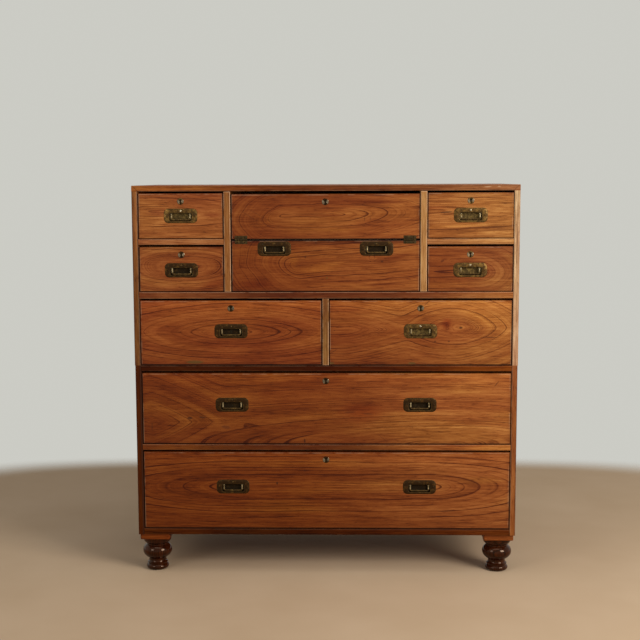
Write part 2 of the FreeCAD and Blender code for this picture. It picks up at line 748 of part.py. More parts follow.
def write_lower_case():
    for side, label in ((-1, "left"), (1, "right")):
        write_node("lower_side_" + label, [case_side(side * lower_half_width,
                                                     side * lower_inner_half, case_base_z, seam_z)])
    x = lower_inner_half
    top = beaded_rail(-x, x, lower_top_z, seam_z, back_inner_y)
    pegs = []
    for px, py in peg_places():
        top = top.cut(rod_z(peg_radius, px, py, lower_top_z - overcut, seam_z + overcut))
        pegs.append(locating_peg(px, py))
    write_node("lower_top_board", [top.Solids[0]])
    write_node("locating_pegs", pegs)
    bottom = beaded_rail(-x, x, case_base_z, long_lower_floor_z, back_inner_y)
    write_node("lower_bottom_board", [bottom])
    write_node("lower_back", back_boards(x, case_base_z, seam_z))
    write_node("lower_divider", rail_and_dust_board(-x, x, lower_rail_z, long_upper_floor_z))


def write_upper_case():
    for side, label in ((-1, "left"), (1, "right")):
        write_node("upper_side_" + label,
                   [case_side(side * half_width, side * inner_half, seam_z, top_ceiling_z)])
    top = box(-half_width, half_width, front_y, back_y, top_ceiling_z, top_z)
    top = round_edges(top, outer_edge_radius, lambda p: near(p.z, top_z))
    top = top.cut(top_bead_cutter())
    write_node("upper_top_board", [top.Solids[0]])
    x = inner_half
    bottom = box(-x, x, bottom_board_front_y, back_inner_y, seam_z, half_floor_z)
    for px, py in peg_places():
        bottom = bottom.cut(rod_z(peg_radius + peg_clearance, px, py, seam_z - overcut,
                                  half_floor_z + overcut))
    write_node("upper_bottom_board", [bottom.Solids[0]])
    write_node("upper_back", back_boards(x, seam_z, top_ceiling_z))
    dividers = rail_and_dust_board(-x, x, cross_rail_z, middle_floor_z)
    for side in (-1, 1):
        x0, x1 = sorted((side * partition_outer_x, side * x))
        dividers += rail_and_dust_board(x0, x1, small_rail_z, top_floor_z)
    write_node("upper_dividers", dividers)
    partitions = []
    for side in (-1, 1):
        x0, x1 = sorted((side * partition_inner_x, side * partition_outer_x))
        partitions.append(partition(x0, x1, middle_floor_z, top_ceiling_z))
    centre = partition(-half_partition_x, half_partition_x, seam_z,
                       middle_floor_z - dust_board_thickness)
    centre = centre.cut(box(-x, x, bottom_board_front_y, back_y, seam_z - overcut, half_floor_z))
    centre = centre.cut(box(-x, x, front_y - overcut, front_y + rail_depth, cross_rail_z,
                            middle_floor_z))
    partitions.append(centre.Solids[0])
    write_node("upper_partitions", partitions)


# ---- feet -----------------------------------------------------------------------------
def foot_places():
    x = lower_half_width - foot_block_inset - foot_block_width / 2
    y = half_case_depth - foot_block_inset - foot_block_width / 2
    return [(side * x, way * y) for side in (-1, 1) for way in (-1, 1)]


def bulge(r0, z0, r1, z1, r_mid):
    """Profile arc from one height to the next, whose middle lies at radius r_mid."""
    return Part.Arc(Vector(r0, 0, z0), Vector(r_mid, 0, (z0 + z1) / 2), Vector(r1, 0, z1)).toShape()


def step(r0, z0, r1, z1):
    return Part.LineSegment(Vector(r0, 0, z0), Vector(r1, 0, z1)).toShape()


def turned_foot():
    """Turned foot on the floor at the origin, with the spigot that screws into its block."""
    bulb_top = foot_bulb_base + foot_bulb_height
    cap_base = bulb_top + foot_collar_height
    cap_edge = cap_base + foot_cap_flare
    profile = [
        step(0, 0, foot_sole_radius, 0),
        bulge(foot_sole_radius, 0, foot_groove_radius, foot_bead_height, foot_bead_radius),
        step(foot_groove_radius, foot_bead_height, foot_flare_radius, foot_neck_base),
        bulge(foot_flare_radius, foot_neck_base, foot_bulb_end_radius, foot_bulb_base,
              foot_neck_radius),
        bulge(foot_bulb_end_radius, foot_bulb_base, foot_bulb_end_radius, bulb_top,
              foot_bulb_radius),
        step(foot_bulb_end_radius, bulb_top, foot_collar_radius, bulb_top),
        step(foot_collar_radius, bulb_top, foot_collar_radius, cap_base),
        bulge(foot_collar_radius, cap_base, foot_cap_radius, cap_edge,
              (foot_collar_radius + foot_cap_radius) / 2 + foot_cap_bulge),
        step(foot_cap_radius, cap_edge, foot_cap_radius, foot_height),
        step(foot_cap_radius, foot_height, foot_spigot_radius, foot_height),
        step(foot_spigot_radius, foot_height, foot_spigot_radius, foot_height + foot_spigot_height),
        step(foot_spigot_radius, foot_height + foot_spigot_height, 0,
             foot_height + foot_spigot_height),
        step(0, foot_height + foot_spigot_height, 0, 0),
    ]
    face = Part.Face(Part.Wire(profile))
    return face.revolve(Vector(0, 0, 0), Vector(0, 0, 1), 360)


def write_feet():
    turned = turned_foot()
    socket = rod_z(foot_spigot_radius + spigot_clearance, 0, 0, foot_height - overcut,
                   foot_height + foot_spigot_height + spigot_clearance)
    half = foot_block_width / 2
    block = box(-half, half, -half, half, foot_height, case_base_z)
    corners = [edge for edge in block.Edges if not near(edge.Vertexes[0].Z, edge.Vertexes[1].Z)]
    block = block.makeFillet(block_corner_radius, corners)
    block = round_edges(block, block_edge_radius, lambda p: near(p.z, foot_height))
    block = block.cut(socket).Solids[0]
    write_node("turned_feet", [moved(turned, x, y, 0) for x, y in foot_places()])
    write_node("foot_blocks", [moved(block, x, y, 0) for x, y in foot_places()])


write_lower_case()
write_upper_case()
write_feet()
write_small_drawers()
write_half_drawers()
write_long_drawers()
write_secretaire_front()
write_secretaire_carcase()
write_writing_board()
write_pigeonholes()
write_fall()
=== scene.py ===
"""Looks of the campaign chest: wood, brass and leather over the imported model, in metres.

The row frame is used throughout: +X right, +Y into the chest, +Z up, the floor at z = 0.
"""
import bmesh
import bpy
import math

from mathutils import Matrix, Vector


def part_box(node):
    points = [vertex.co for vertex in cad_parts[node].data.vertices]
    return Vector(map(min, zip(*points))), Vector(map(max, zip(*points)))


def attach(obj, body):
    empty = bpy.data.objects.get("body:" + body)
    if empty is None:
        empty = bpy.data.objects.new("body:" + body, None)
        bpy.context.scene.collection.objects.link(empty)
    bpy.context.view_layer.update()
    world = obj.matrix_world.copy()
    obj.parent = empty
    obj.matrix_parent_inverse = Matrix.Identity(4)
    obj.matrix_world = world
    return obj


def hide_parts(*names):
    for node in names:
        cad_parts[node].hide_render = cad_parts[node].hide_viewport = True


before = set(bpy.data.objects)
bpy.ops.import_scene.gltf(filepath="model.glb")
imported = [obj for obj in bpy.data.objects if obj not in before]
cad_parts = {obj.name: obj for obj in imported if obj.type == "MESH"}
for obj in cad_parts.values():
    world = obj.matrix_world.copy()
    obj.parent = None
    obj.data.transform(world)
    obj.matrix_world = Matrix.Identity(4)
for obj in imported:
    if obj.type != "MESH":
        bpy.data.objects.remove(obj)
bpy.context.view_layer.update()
MM = 0.001

# ---- camera, fitted to the photograph's converging lines -----------
FOCAL_PX = 1218.0
IMAGE_PX = 640.0
SENSOR_MM = 36.0
CAMERA_PLACE = Vector((0.067, -3.4875, 1.083))
CAMERA_YAW = math.radians(-1.44)
CAMERA_PITCH = math.radians(6.64)
CAMERA_ROLL = math.radians(0.205)

# ---- sizes shared with the solids, in millimetres ------------------
FRONT_THICK = 18.0
FALL_THICK = 17.4
PLATE = (90.0, 39.0, 12.5)             # width, height, corner radius
PLATE_THICK = 2.5
PAN = (59.5, 21.0, 4.0)
PAN_DROP = -3.5                        # pan's centre from the plate's centre
PAN_DEPTH = 9.5
PAN_WALL = 1.4
BAIL_LOW = -12.8                       # bail's lowest point from the plate's centre
BAIL_ARM_X = 24.8
BAIL_BAR = 2.2
BAIL_BEND = 4.5
BAIL_PIVOT = (2.6, 3.8)                # depth behind the face, height above the centre
BAIL_REACH = 30.85
ARM_STEPS = 6                          # points along a bail's arms, bends and bar
BEND_STEPS = 6
BAR_STEPS = 10
TRUNNION = 1.3
END_SCREW_X = 37.4
TOP_SCREW_Z = 13.2
SCREW_HEAD = 2.6
ESCUTCHEON = 9.0
KEYHOLE_DROP = 21.2
LOCK = (56.0, 38.0, 8.0, 14.0)         # width, height, thickness, rise above the keyhole
SELVEDGE = 2.0                         # plate that covers the lock's back and top edges
LOCK_PIN_INSET = 6.0
HINGE = (34.0, 11.0, 1.8)              # width, leaf height, leaf thickness
HINGE_MARGIN = 9.3
HINGE_PIN_DEPTH = 0.5
HINGE_PIN = 0.9
HINGE_SCREW = (7.2, 1.9)               # height from the pin, head radius
KNUCKLE = 2.3
KNUCKLES = 5
STAY = (80.0, 7.0, 2.0, 20.0)          # radius, width, thickness, tail angle
STAY_MARGIN = 16.0                     # from the leather's edge to a stay
STAY_FOOT = 13.0                       # half the height of a stay's foot
FOOT_BLOCK_HALF = 41.0
FOOT_SIDES = 72
CORNER_STEPS = 7                       # points along a rounded corner
FLOOR_RADIUS = 2.2                     # metres


def add_object(name, data):
    """An object in the scene, for a mesh, lamp or camera."""
    piece = bpy.data.objects.new(name, data)
    bpy.context.scene.collection.objects.link(piece)
    return piece


def set_camera():
    """Looks from the front, with the small yaw, pitch and roll of the fitted camera."""
    forward = Vector((math.sin(CAMERA_YAW) * math.cos(CAMERA_PITCH),
                      math.cos(CAMERA_YAW) * math.cos(CAMERA_PITCH), -math.sin(CAMERA_PITCH)))
    level = Vector((math.cos(CAMERA_YAW), -math.sin(CAMERA_YAW), 0.0))
    down = forward.cross(level)
    right = math.cos(CAMERA_ROLL) * level + math.sin(CAMERA_ROLL) * down
    below = -math.sin(CAMERA_ROLL) * level + math.cos(CAMERA_ROLL) * down
    turn = Matrix((right, -below, -forward)).transposed()
    data = bpy.data.cameras.new("camera")
    data.sensor_width = SENSOR_MM
    data.lens = FOCAL_PX / IMAGE_PX * SENSOR_MM
    camera = add_object("camera", data)
    camera.matrix_world = Matrix.Translation(CAMERA_PLACE) @ turn.to_4x4()
    bpy.context.scene.camera = camera


set_camera()


# ---- node graphs ---------------------------------------------------
class Nodes:
    """The node tree of a world or material, with short names for the nodes in use."""

    def __init__(self, owner):
        owner.use_nodes = True
        self.tree = owner.node_tree
        self.tree.nodes.clear()

    def new(self, kind):
        return self.tree.nodes.new(kind)

    def put(self, socket, value):
        if isinstance(value, bpy.types.NodeSocket):
            self.tree.links.new(value, socket)
        else:
            socket.default_value = value

    def fill(self, node, *values):
        """Puts values into a node's first inputs, in order, and returns its first output."""
        for socket, value in zip(node.inputs, values):
            self.put(socket, value)
        return node.outputs[0]

    def fill_named(self, node, **values):
        """Puts values into the inputs of those names and returns the node."""
        for key, value in values.items():
            self.put(node.inputs[key.replace("_", " ")], value)
        return node

    def math(self, operation, *values):
        node = self.new("ShaderNodeMath")
        node.operation = operation
        return self.fill(node, *values)

    def less(self, a, b):
        return self.math("SUBTRACT", a, b)

    def times(self, a, b):
        return self.math("MULTIPLY", a, b)

    def swing(self, noise, amount):
        """A noise about its middle, scaled to run from -amount / 2 to amount / 2."""
        return self.times(self.less(noise, 0.5), amount)

    def total(self, *values):
        result = values[0]
        for value in values[1:]:
            result = self.math("ADD", result, value)
        return result

    def root_sum(self, *values):
        """Square root of the sum of the squares."""
        return self.math("SQRT", self.total(*[self.times(v, v) for v in values]))


class Graph(Nodes):
    """A material's tree round one Principled shader."""

    def __init__(self, name):
        self.material = bpy.data.materials.new(name)
        super().__init__(self.material)
        self.shader = self.new("ShaderNodeBsdfPrincipled")
        self.output = self.new("ShaderNodeOutputMaterial")
        self.put(self.output.inputs[0], self.shader.outputs[0])
        self.place = self.new("ShaderNodeTexCoord").outputs["Object"]

    def split(self, vector):
        node = self.new("ShaderNodeSeparateXYZ")
        self.fill(node, vector)
        return list(node.outputs)

    def join(self, x, y, z):
        return self.fill(self.new("ShaderNodeCombineXYZ"), x, y, z)

    def stretch(self, vector, factors, shift=0.0):
        node = self.new("ShaderNodeVectorMath")
        node.operation = "MULTIPLY_ADD"
        return self.fill(node, vector, factors, (shift, shift * 1.7, shift * 2.3))

    def noise(self, vector, detail=2.0, rough=0.5, colour=False):
        node = self.fill_named(self.new("ShaderNodeTexNoise"), Vector=vector, Scale=1.0,
                               Detail=detail, Roughness=rough)
        return node.outputs[1] if colour else node.outputs[0]

    def speckle(self, size, detail=2.0, rough=0.5, shift=0.0):
        """Noise that is the same in all directions, with size cells to the metre."""
        return self.noise(self.stretch(self.place, (size, size, size), shift), detail, rough)

    def noise_1d(self, w, detail=1.0):
        node = self.new("ShaderNodeTexNoise")
        node.noise_dimensions = "1D"
        return self.fill_named(node, W=w, Scale=1.0, Detail=detail).outputs[0]

    def random(self, w):
        node = self.new("ShaderNodeTexWhiteNoise")
        node.noise_dimensions = "1D"
        return self.fill_named(node, W=w).outputs[0]

    def smooth(self, value, low, high):
        """0 below low, 1 above high, smooth between; low may be the larger of the two."""
        node = self.new("ShaderNodeMapRange")
        node.interpolation_type = "SMOOTHSTEP"
        return self.fill(node, value, low, high)

    def band(self, value, rise, fall):
        """1 between the two slopes, which are given as for smooth, and 0 outside them."""
        return self.times(self.smooth(value, *rise), self.smooth(value, *fall))

    def ramp(self, value, stops):
        node = self.new("ShaderNodeValToRGB")
        band = node.color_ramp
        while len(band.elements) < len(stops):
            band.elements.new(0.5)
        for element, (place, colour) in zip(band.elements, stops):
            element.position = place
            element.color = (*colour, 1.0)
        return self.fill(node, value)

    def mix(self, factor, a, b, blend="MIX"):
        node = self.new("ShaderNodeMix")
        node.data_type = "RGBA"
        node.blend_type = blend
        self.put(node.inputs[0], factor)
        for socket, value in ((node.inputs[6], a), (node.inputs[7], b)):
            self.put(socket, (*value, 1.0) if isinstance(value, tuple) else value)
        return node.outputs[2]

    def tinted(self, colour, factor, share=None):
        """A colour times a factor, either throughout or as far as share says."""
        result = self.mix(1.0, colour, factor, "MULTIPLY")
        return result if share is None else self.mix(share, colour, result)

    def finish(self, colour, roughness, height=None, bump=0.0, depth=0.0003):
        self.fill_named(self.shader, Base_Color=colour, Roughness=roughness)
        if height is not None:
            node = self.fill_named(self.new("ShaderNodeBump"), Strength=bump, Distance=depth,
                                   Height=height)
            self.put(self.shader.inputs["Normal"], node.outputs[0])
        return self.material


# ---- wood ----------------------------------------------------------
# Red wood and golden wood: latewood, body, earlywood.
CAMPHOR = (((0.055, 0.0080, 0.0012), (0.159, 0.0335, 0.0052), (0.250, 0.068, 0.0126)),
           ((0.075, 0.0160, 0.0020), (0.202, 0.0540, 0.0078), (0.320, 0.110, 0.0210)))
PALE = (((0.20, 0.10, 0.045), (0.33, 0.20, 0.10), (0.44, 0.29, 0.16)),
        ((0.24, 0.13, 0.055), (0.38, 0.24, 0.12), (0.50, 0.34, 0.19)))
DARK = (((0.007, 0.0010, 0.0002), (0.030, 0.0058, 0.0010), (0.085, 0.0190, 0.0040)),
        ((0.009, 0.0016, 0.0003), (0.040, 0.0090, 0.0020), (0.100, 0.0260, 0.0060)))
STOP_PLACES = (0.10, 0.5, 0.9)
# Pale colour of rubbed edges and beads, partly wear and partly painted highlight.
RUB_AND_HIGHLIGHT = (0.46, 0.27, 0.15)
FILLER = (0.080, 0.050, 0.012)
# Dark colour of splits, and of the painted shade lines along the sides' front edges.
SPLIT_AND_SHADE = (0.035, 0.010, 0.004)
# Painted shade, with some grime, in the gaps round the fronts and in the beads' grooves.
SHADE_AND_GRIME = (0.010, 0.003, 0.0015)
GRIME = (0.45, 0.34, 0.30)
LATE_WEIGHT = -0.68                    # weights of the layers that make the wood's tone
FINE_WEIGHT = -0.50
BROAD_WEIGHT = 0.36
STREAK_WEIGHT = 0.46
THREAD_WEIGHT = 0.58
FIBRE_WEIGHT = 1.0
MOTTLE_WEIGHT = 0.50
PORE_WEIGHT = -0.20

ACROSS_FRONT = (0, 2, 1)               # grain along X, face towards -Y
UPRIGHT_FRONT = (2, 0, 1)              # grain along Z, face towards -Y
UPRIGHT_SIDE = (2, 1, 0)               # grain along Z, face towards X
ACROSS_TOP = (0, 1, 2)                 # grain along X, face upwards
INWARD_SIDE = (1, 2, 0)                # grain along Y, face towards X


def ring_distance(g, a, b, c, figures, plane):
    """Distance from the heart of the tree, in metres, as a flat-sawn board shows it.

    g is the material's graph; a runs along the grain, b across the face and c into the board.
    Each figure is (start, end, across, left, right, power): nested loops about a line from
    start to end. left and right say how quickly the loops close beyond it; 0 leaves them open.
    A power of 2 makes round noses, and one nearer to 1 makes pointed ones.
    """
    nearest = None
    for start, end, across, left, right, *power in figures:
        before = g.times(g.math("MINIMUM", g.less(a, start), 0.0), left)
        after = g.times(g.math("MAXIMUM", g.less(a, end), 0.0), right)
        over = g.root_sum(g.less(b, across), g.less(c, plane))
        distance = rounded_sum(g, g.less(after, before), over, *power)
        if nearest is None:
            nearest = distance
        else:
            nearest = g.math("SMOOTH_MIN", nearest, distance, 0.014)
    return nearest


def rounded_sum(g, u, v, power=2.0):
    """Length of (u, v): round at a power of 2, pointed like a diamond nearer to 1."""
    if power == 2.0:
        return g.root_sum(u, v)
    terms = [g.math("POWER", g.math("ABSOLUTE", w), power) for w in (u, v)]
    return g.math("POWER", g.total(*terms), 1 / power)


def ellipse(g, u, v, x, z, length, width, angle=0.0):
    """0 in the middle of an ellipse, 1 at its rim, for coordinates u and v."""
    turn = math.radians(angle)
    du = g.less(u, x)
    dv = g.less(v, z)
    along = g.total(g.times(du, math.cos(turn) / length), g.times(dv, math.sin(turn) / length))
    over = g.total(g.times(du, -math.sin(turn) / width), g.times(dv, math.cos(turn) / width))
    return g.root_sum(along, over)


def wood(name, axes, figures, palettes=CAMPHOR, tint=(1.0, 1.0, 1.0), far_tint=None, seed=0.0,
         ring=0.0085, warp=0.012, contrast=1.0, rough=0.40, gold=0.5, tilt=0.0, eyes=(),
         zones=(), marks=(), edges=None, bead=0.0, plane=0.0, gloss=0.12, tint_span=(0, -0.4, 0.4),
         face=None, bump=0.28, sheen=(1.0, 1.0, 1.0), rim=(0.80, 0.80, 0.25, 0.60), along=()):
    """Flat-sawn board: growth rings, latewood lines, fibres, pores, wear and repairs, with painted
    light and shade along its edges and from end to end.
    """
    g = Graph(name)
    parts = g.split(g.place)
    a, b, c = [parts[i] for i in axes]
    grain = g.join(a, b, c)

    def drawn_out(lengthwise, across, shift, *texture, **options):
        """Noise in long cells, so many to the metre along and across the grain."""
        cells = g.stretch(grain, (lengthwise, across, across), seed + shift)
        return g.noise(cells, *texture, **options)

    slow = g.split(drawn_out(1.8, 6.0, 0, colour=True))
    quick = g.split(drawn_out(12.0, 36.0, 0, colour=True))
    b = g.total(b, g.times(a, -tilt), g.swing(slow[0], warp * 2), g.swing(quick[0], warp * 0.5))
    a = g.total(a, g.swing(slow[1], warp * 8))
    radius = ring_distance(g, a, b, c, figures, plane)
    for x, z, length, width, rise in eyes:
        swell = g.smooth(ellipse(g, a, b, x, z, length, width), 1.0, 0.0)
        radius = g.total(radius, g.times(swell, rise))
    late = latewood(g, a, radius, ring, seed, 46.0)
    fine = latewood(g, a, radius, ring * 0.43, seed + 3.3, 90.0)
    broad = g.noise_1d(g.total(g.times(radius, 30.0), seed * 3), 2.0)
    streak = g.noise(g.join(g.times(a, 6.0), g.times(radius, 230.0), seed), 3.0, 0.65)
    thread = drawn_out(14.0, 190.0, 6, 2.0, 0.6)
    fibre = drawn_out(22.0, 560.0, 0, 3.0, 0.65)
    mottle = drawn_out(9.0, 22.0, 4, 3.0, 0.55)
    pores = g.smooth(drawn_out(62.0, 430.0, 0, 1.0), 0.60, 0.72)
    tone = g.total(0.58, g.swing(broad, BROAD_WEIGHT * contrast),
                   g.times(late, LATE_WEIGHT * contrast), g.times(fine, FINE_WEIGHT * contrast),
                   g.swing(streak, STREAK_WEIGHT * contrast), g.swing(thread, THREAD_WEIGHT),
                   g.swing(fibre, FIBRE_WEIGHT), g.swing(mottle, MOTTLE_WEIGHT),
                   g.times(pores, PORE_WEIGHT))
    patch = drawn_out(2.6, 9.0, 8)
    turn = 0.5 + (0.5 - gold) * 0.5
    hue = g.smooth(g.total(patch, g.swing(broad, 0.3)), turn - 0.16, turn + 0.16)
    colour = g.mix(hue, *[g.ramp(tone, list(zip(STOP_PLACES, palette))) for palette in palettes])
    # From tint to far_tint along the board: partly the wood's own tone and partly painted light,
    # most boards growing brighter towards the lamp at the right.
    if far_tint is not None:
        axis, start, end = tint_span
        tint = g.mix(g.smooth(parts[axis], start, end), tint, far_tint)
    colour = g.tinted(colour, tint)
    for *oval, factor in zones:
        soft = g.smooth(ellipse(g, parts[0], parts[2], *oval), 1.0, 0.1)
        colour = g.tinted(colour, factor, soft)
    if edges is not None:
        colour = shaded_soiled_edges(g, colour, parts, edges, rim)
    if face is not None or bead:
        colour = lit_shaded_worn_faces(g, colour, parts, face, bead, along)
    for x, z, length, width, angle, strength, *spot in marks:
        near = g.smooth(ellipse(g, parts[0], parts[2], x, z, length, width, angle), 1.0, 0.5)
        colour = g.mix(g.times(near, strength), colour, *(spot or (SPLIT_AND_SHADE,)))
    height = g.total(fibre, g.times(late, -0.35), g.times(pores, -0.8))
    roughness = g.total(rough - 0.06, g.times(mottle, 0.14), g.times(late, 0.05))
    g.fill_named(g.shader, Specular_IOR_Level=gloss, Specular_Tint=(*sheen, 1.0))
    return g.finish(colour, roughness, height, bump)


def latewood(g, a, radius, ring, seed, drift):
    """Thin dark lines, one to a ring, each with its own strength and broken along its length."""
    phase = g.total(g.times(radius, 1 / ring), g.times(g.noise_1d(g.times(radius, drift)), 1.7),
                    seed)
    within = g.math("FRACT", phase)
    own = g.random(g.math("FLOOR", phase))
    broken = g.smooth(g.noise(g.join(g.times(a, 5.0), g.times(radius, 60.0), seed)), 0.34, 0.60)
    line = g.band(within, (0.64, 0.94), (1.0, 0.94))
    return g.times(line, g.times(g.times(own, own), broken))


def shaded_soiled_edges(g, colour, parts, edges, rim):
    """Painted shade of the gap round a front along its outline, grime a little further in, and a
    thin pale line inside it, partly wear and partly painted highlight.

    rim says how dark the painted outline shade is at the left, right, top and bottom.
    """
    low, high = edges
    sides = [g.less(parts[0], low[0]), g.less(high[0], parts[0]),
             g.less(high[2], parts[2]), g.less(parts[2], low[2])]
    upper = g.math("MINIMUM", g.math("MINIMUM", sides[0], sides[1]), sides[2])
    reach = g.math("MINIMUM", upper, sides[3])
    uneven = g.speckle(24.0, 3.0, 0.6)
    soil = g.times(g.smooth(g.total(reach, g.times(uneven, 0.010)), 0.018, 0.004), 0.30)
    colour = g.tinted(colour, GRIME, soil)
    # Thin pale line: partly wear, partly painted highlight on the eased edge.
    rub = g.band(upper, (0.0012, 0.0021), (0.0042, 0.0028))
    colour = g.mix(g.times(g.times(rub, 0.34), g.smooth(uneven, 0.42, 0.62)), colour, RUB_AND_HIGHLIGHT)
    # Painted shade: the dark outline where the gap round the front falls into shadow.
    line = 0.0
    for side, strength in zip(sides, rim):
        width = 0.0014 + 0.0014 * strength
        line = g.math("MAXIMUM", line, g.times(g.smooth(side, width, 0.64 * width), strength))
    return g.mix(line, colour, SHADE_AND_GRIME)


def lit_shaded_worn_faces(g, colour, parts, face, bead, along):
    """Tints the front edge of a case board, paints shade with some grime into its sunk corners and
    rubs its beads pale, which is partly wear and partly painted highlight.

    face is one tint, or one for the lower case and one for the upper; on the right sides it
    brightens the edge as painted light from the lamp at the right. along lists (x, tint): how the
    front edge grows brighter or darker from left to right, partly painted light and partly the
    wood's own tone.
    """
    normal = g.split(g.new("ShaderNodeTexCoord").outputs["Normal"])
    forward = g.times(normal[1], -1.0)
    front = g.smooth(forward, 0.25, 0.6)
    if face is not None:
        if len(face) == 2:
            face = g.mix(g.smooth(parts[2], 0.45, 0.62), face[0], face[1])
        colour = g.tinted(colour, face, front)
    if along:
        shade = along[0][1]
        for (start, _), (end, tint) in zip(along, along[1:]):
            shade = g.mix(g.smooth(parts[0], start, end), shade, tint)
        colour = g.tinted(colour, shade, front)
    if bead:
        # Painted shade, with some grime, where the bead turns back into its groove.
        sunk = g.band(forward, (0.02, 0.12), (0.75, 0.45))
        colour = g.mix(g.times(sunk, 0.9), colour, SHADE_AND_GRIME)
        # Pale crown on the bead: partly wear, partly painted highlight.
        crown = g.band(forward, (0.60, 0.80), (0.998, 0.95))
        uneven = g.speckle(30.0, 3.0, 0.6)
        rub = g.times(g.times(crown, bead), g.smooth(uneven, 0.30, 0.55))
        colour = g.mix(rub, colour, RUB_AND_HIGHLIGHT)
    return colour


# ---- brass and leather ---------------------------------------------
def brass(name, clean, aged, wear, rough, seed):
    """Old brass: brown film over yellow metal, rubbed through in patches."""
    g = Graph(name)
    patch = g.speckle(110.0, 4.0, 0.62, seed)
    grain = g.speckle(900.0, 2.0, 0.6, seed)
    rubbed = g.smooth(g.total(patch, g.swing(grain, 0.35)), 0.86 - wear, 1.14 - wear)
    colour = g.mix(rubbed, aged, clean)
    spots = g.smooth(g.speckle(260.0, shift=seed + 2), 0.62, 0.7)
    colour = g.mix(g.times(spots, 0.5), colour, (0.030, 0.034, 0.018))
    g.fill_named(g.shader, Metallic=0.88)
    roughness = g.total(rough, g.times(g.less(1.0, rubbed), 0.16), g.times(grain, 0.1))
    return g.finish(colour, roughness, g.total(patch, g.times(grain, 0.4)), 0.35, 0.0004)


def leather(name):
    """Green writing skiver with a fine grain, rubbed in patches."""
    g = Graph(name)
    pebble = g.speckle(700.0, 2.0, 0.6)
    rub = g.speckle(9.0, 3.0, 0.6)
    colour = g.ramp(rub, [(0.3, (0.020, 0.034, 0.018)), (0.7, (0.052, 0.070, 0.036))])
    colour = g.mix(g.times(g.smooth(pebble, 0.5, 0.75), 0.3), colour, (0.09, 0.11, 0.06))
    return g.finish(colour, g.total(0.45, g.times(pebble, 0.2)), pebble, 0.5, 0.0004)


def dark_hollow(name):
    """Blackened inside of a keyhole."""
    g = Graph(name)
    soot = g.speckle(600.0)
    return g.finish(g.ramp(soot, [(0.3, (0.004, 0.003, 0.002)), (0.7, (0.016, 0.011, 0.007))]),
                    0.8, soot, 0.3)


BRASS_OLD = brass("brass_old", (0.118, 0.054, 0.0095), (0.028, 0.0115, 0.0020), 0.36, 0.36, 1.0)
BRASS_WORN = brass("brass_worn", (0.42, 0.32, 0.17), (0.125, 0.082, 0.033), 0.50, 0.28, 5.0)
BRASS_DARK = brass("brass_dark", (0.052, 0.026, 0.006), (0.016, 0.0080, 0.002), 0.36, 0.42, 9.0)
BRASS_PIN = brass("brass_pin", (0.50, 0.42, 0.28), (0.22, 0.16, 0.08), 0.55, 0.24, 7.0)
BRASS_HINGE = brass("brass_hinge", (0.125, 0.070, 0.020), (0.036, 0.021, 0.0065), 0.38, 0.42, 3.0)
BRASS_GRIP = brass("brass_grip", (0.18, 0.105, 0.030), (0.052, 0.028, 0.008), 0.40, 0.32, 11.0)
BRASS_FAIR = brass("brass_fair", (0.200, 0.105, 0.024), (0.058, 0.028, 0.0065), 0.44, 0.34, 13.0)
# Pale brass for the painted highlight crescents at the sides of each escutcheon's rim.
BRASS_CRESCENT_HIGHLIGHT = brass("brass_crescent_highlight", (0.27, 0.20, 0.12), (0.10, 0.070, 0.040), 0.50, 0.30, 19.0)
BRASS_PAN = brass("brass_pan", (0.20, 0.125, 0.035), (0.060, 0.035, 0.010), 0.44, 0.36, 17.0)
HOLLOW = dark_hollow("keyhole_hollow")
LEATHER = leather("writing_leather")
FITTING_MATERIALS = (BRASS_OLD, BRASS_WORN, BRASS_DARK, BRASS_PIN, BRASS_HINGE, HOLLOW, BRASS_GRIP,
                     BRASS_DARK, BRASS_GRIP, BRASS_CRESCENT_HIGHLIGHT)
FAIR_MATERIALS = (BRASS_FAIR, *FITTING_MATERIALS[1:7], BRASS_PAN, BRASS_PIN, BRASS_CRESCENT_HIGHLIGHT)
OLD, WORN, PAN_DARK, PIN, HINGED, BLACK, GRIP, PAN_FLOOR, SCREW, CRESCENT_HIGHLIGHT = range(10)


# ---- mesh building -------------------------------------------------
def pick(materials, band, step):
    """A face's material number, from one number, a list or a function."""
    if isinstance(materials, int):
        return materials
    return materials(band, step) if callable(materials) else materials[band]


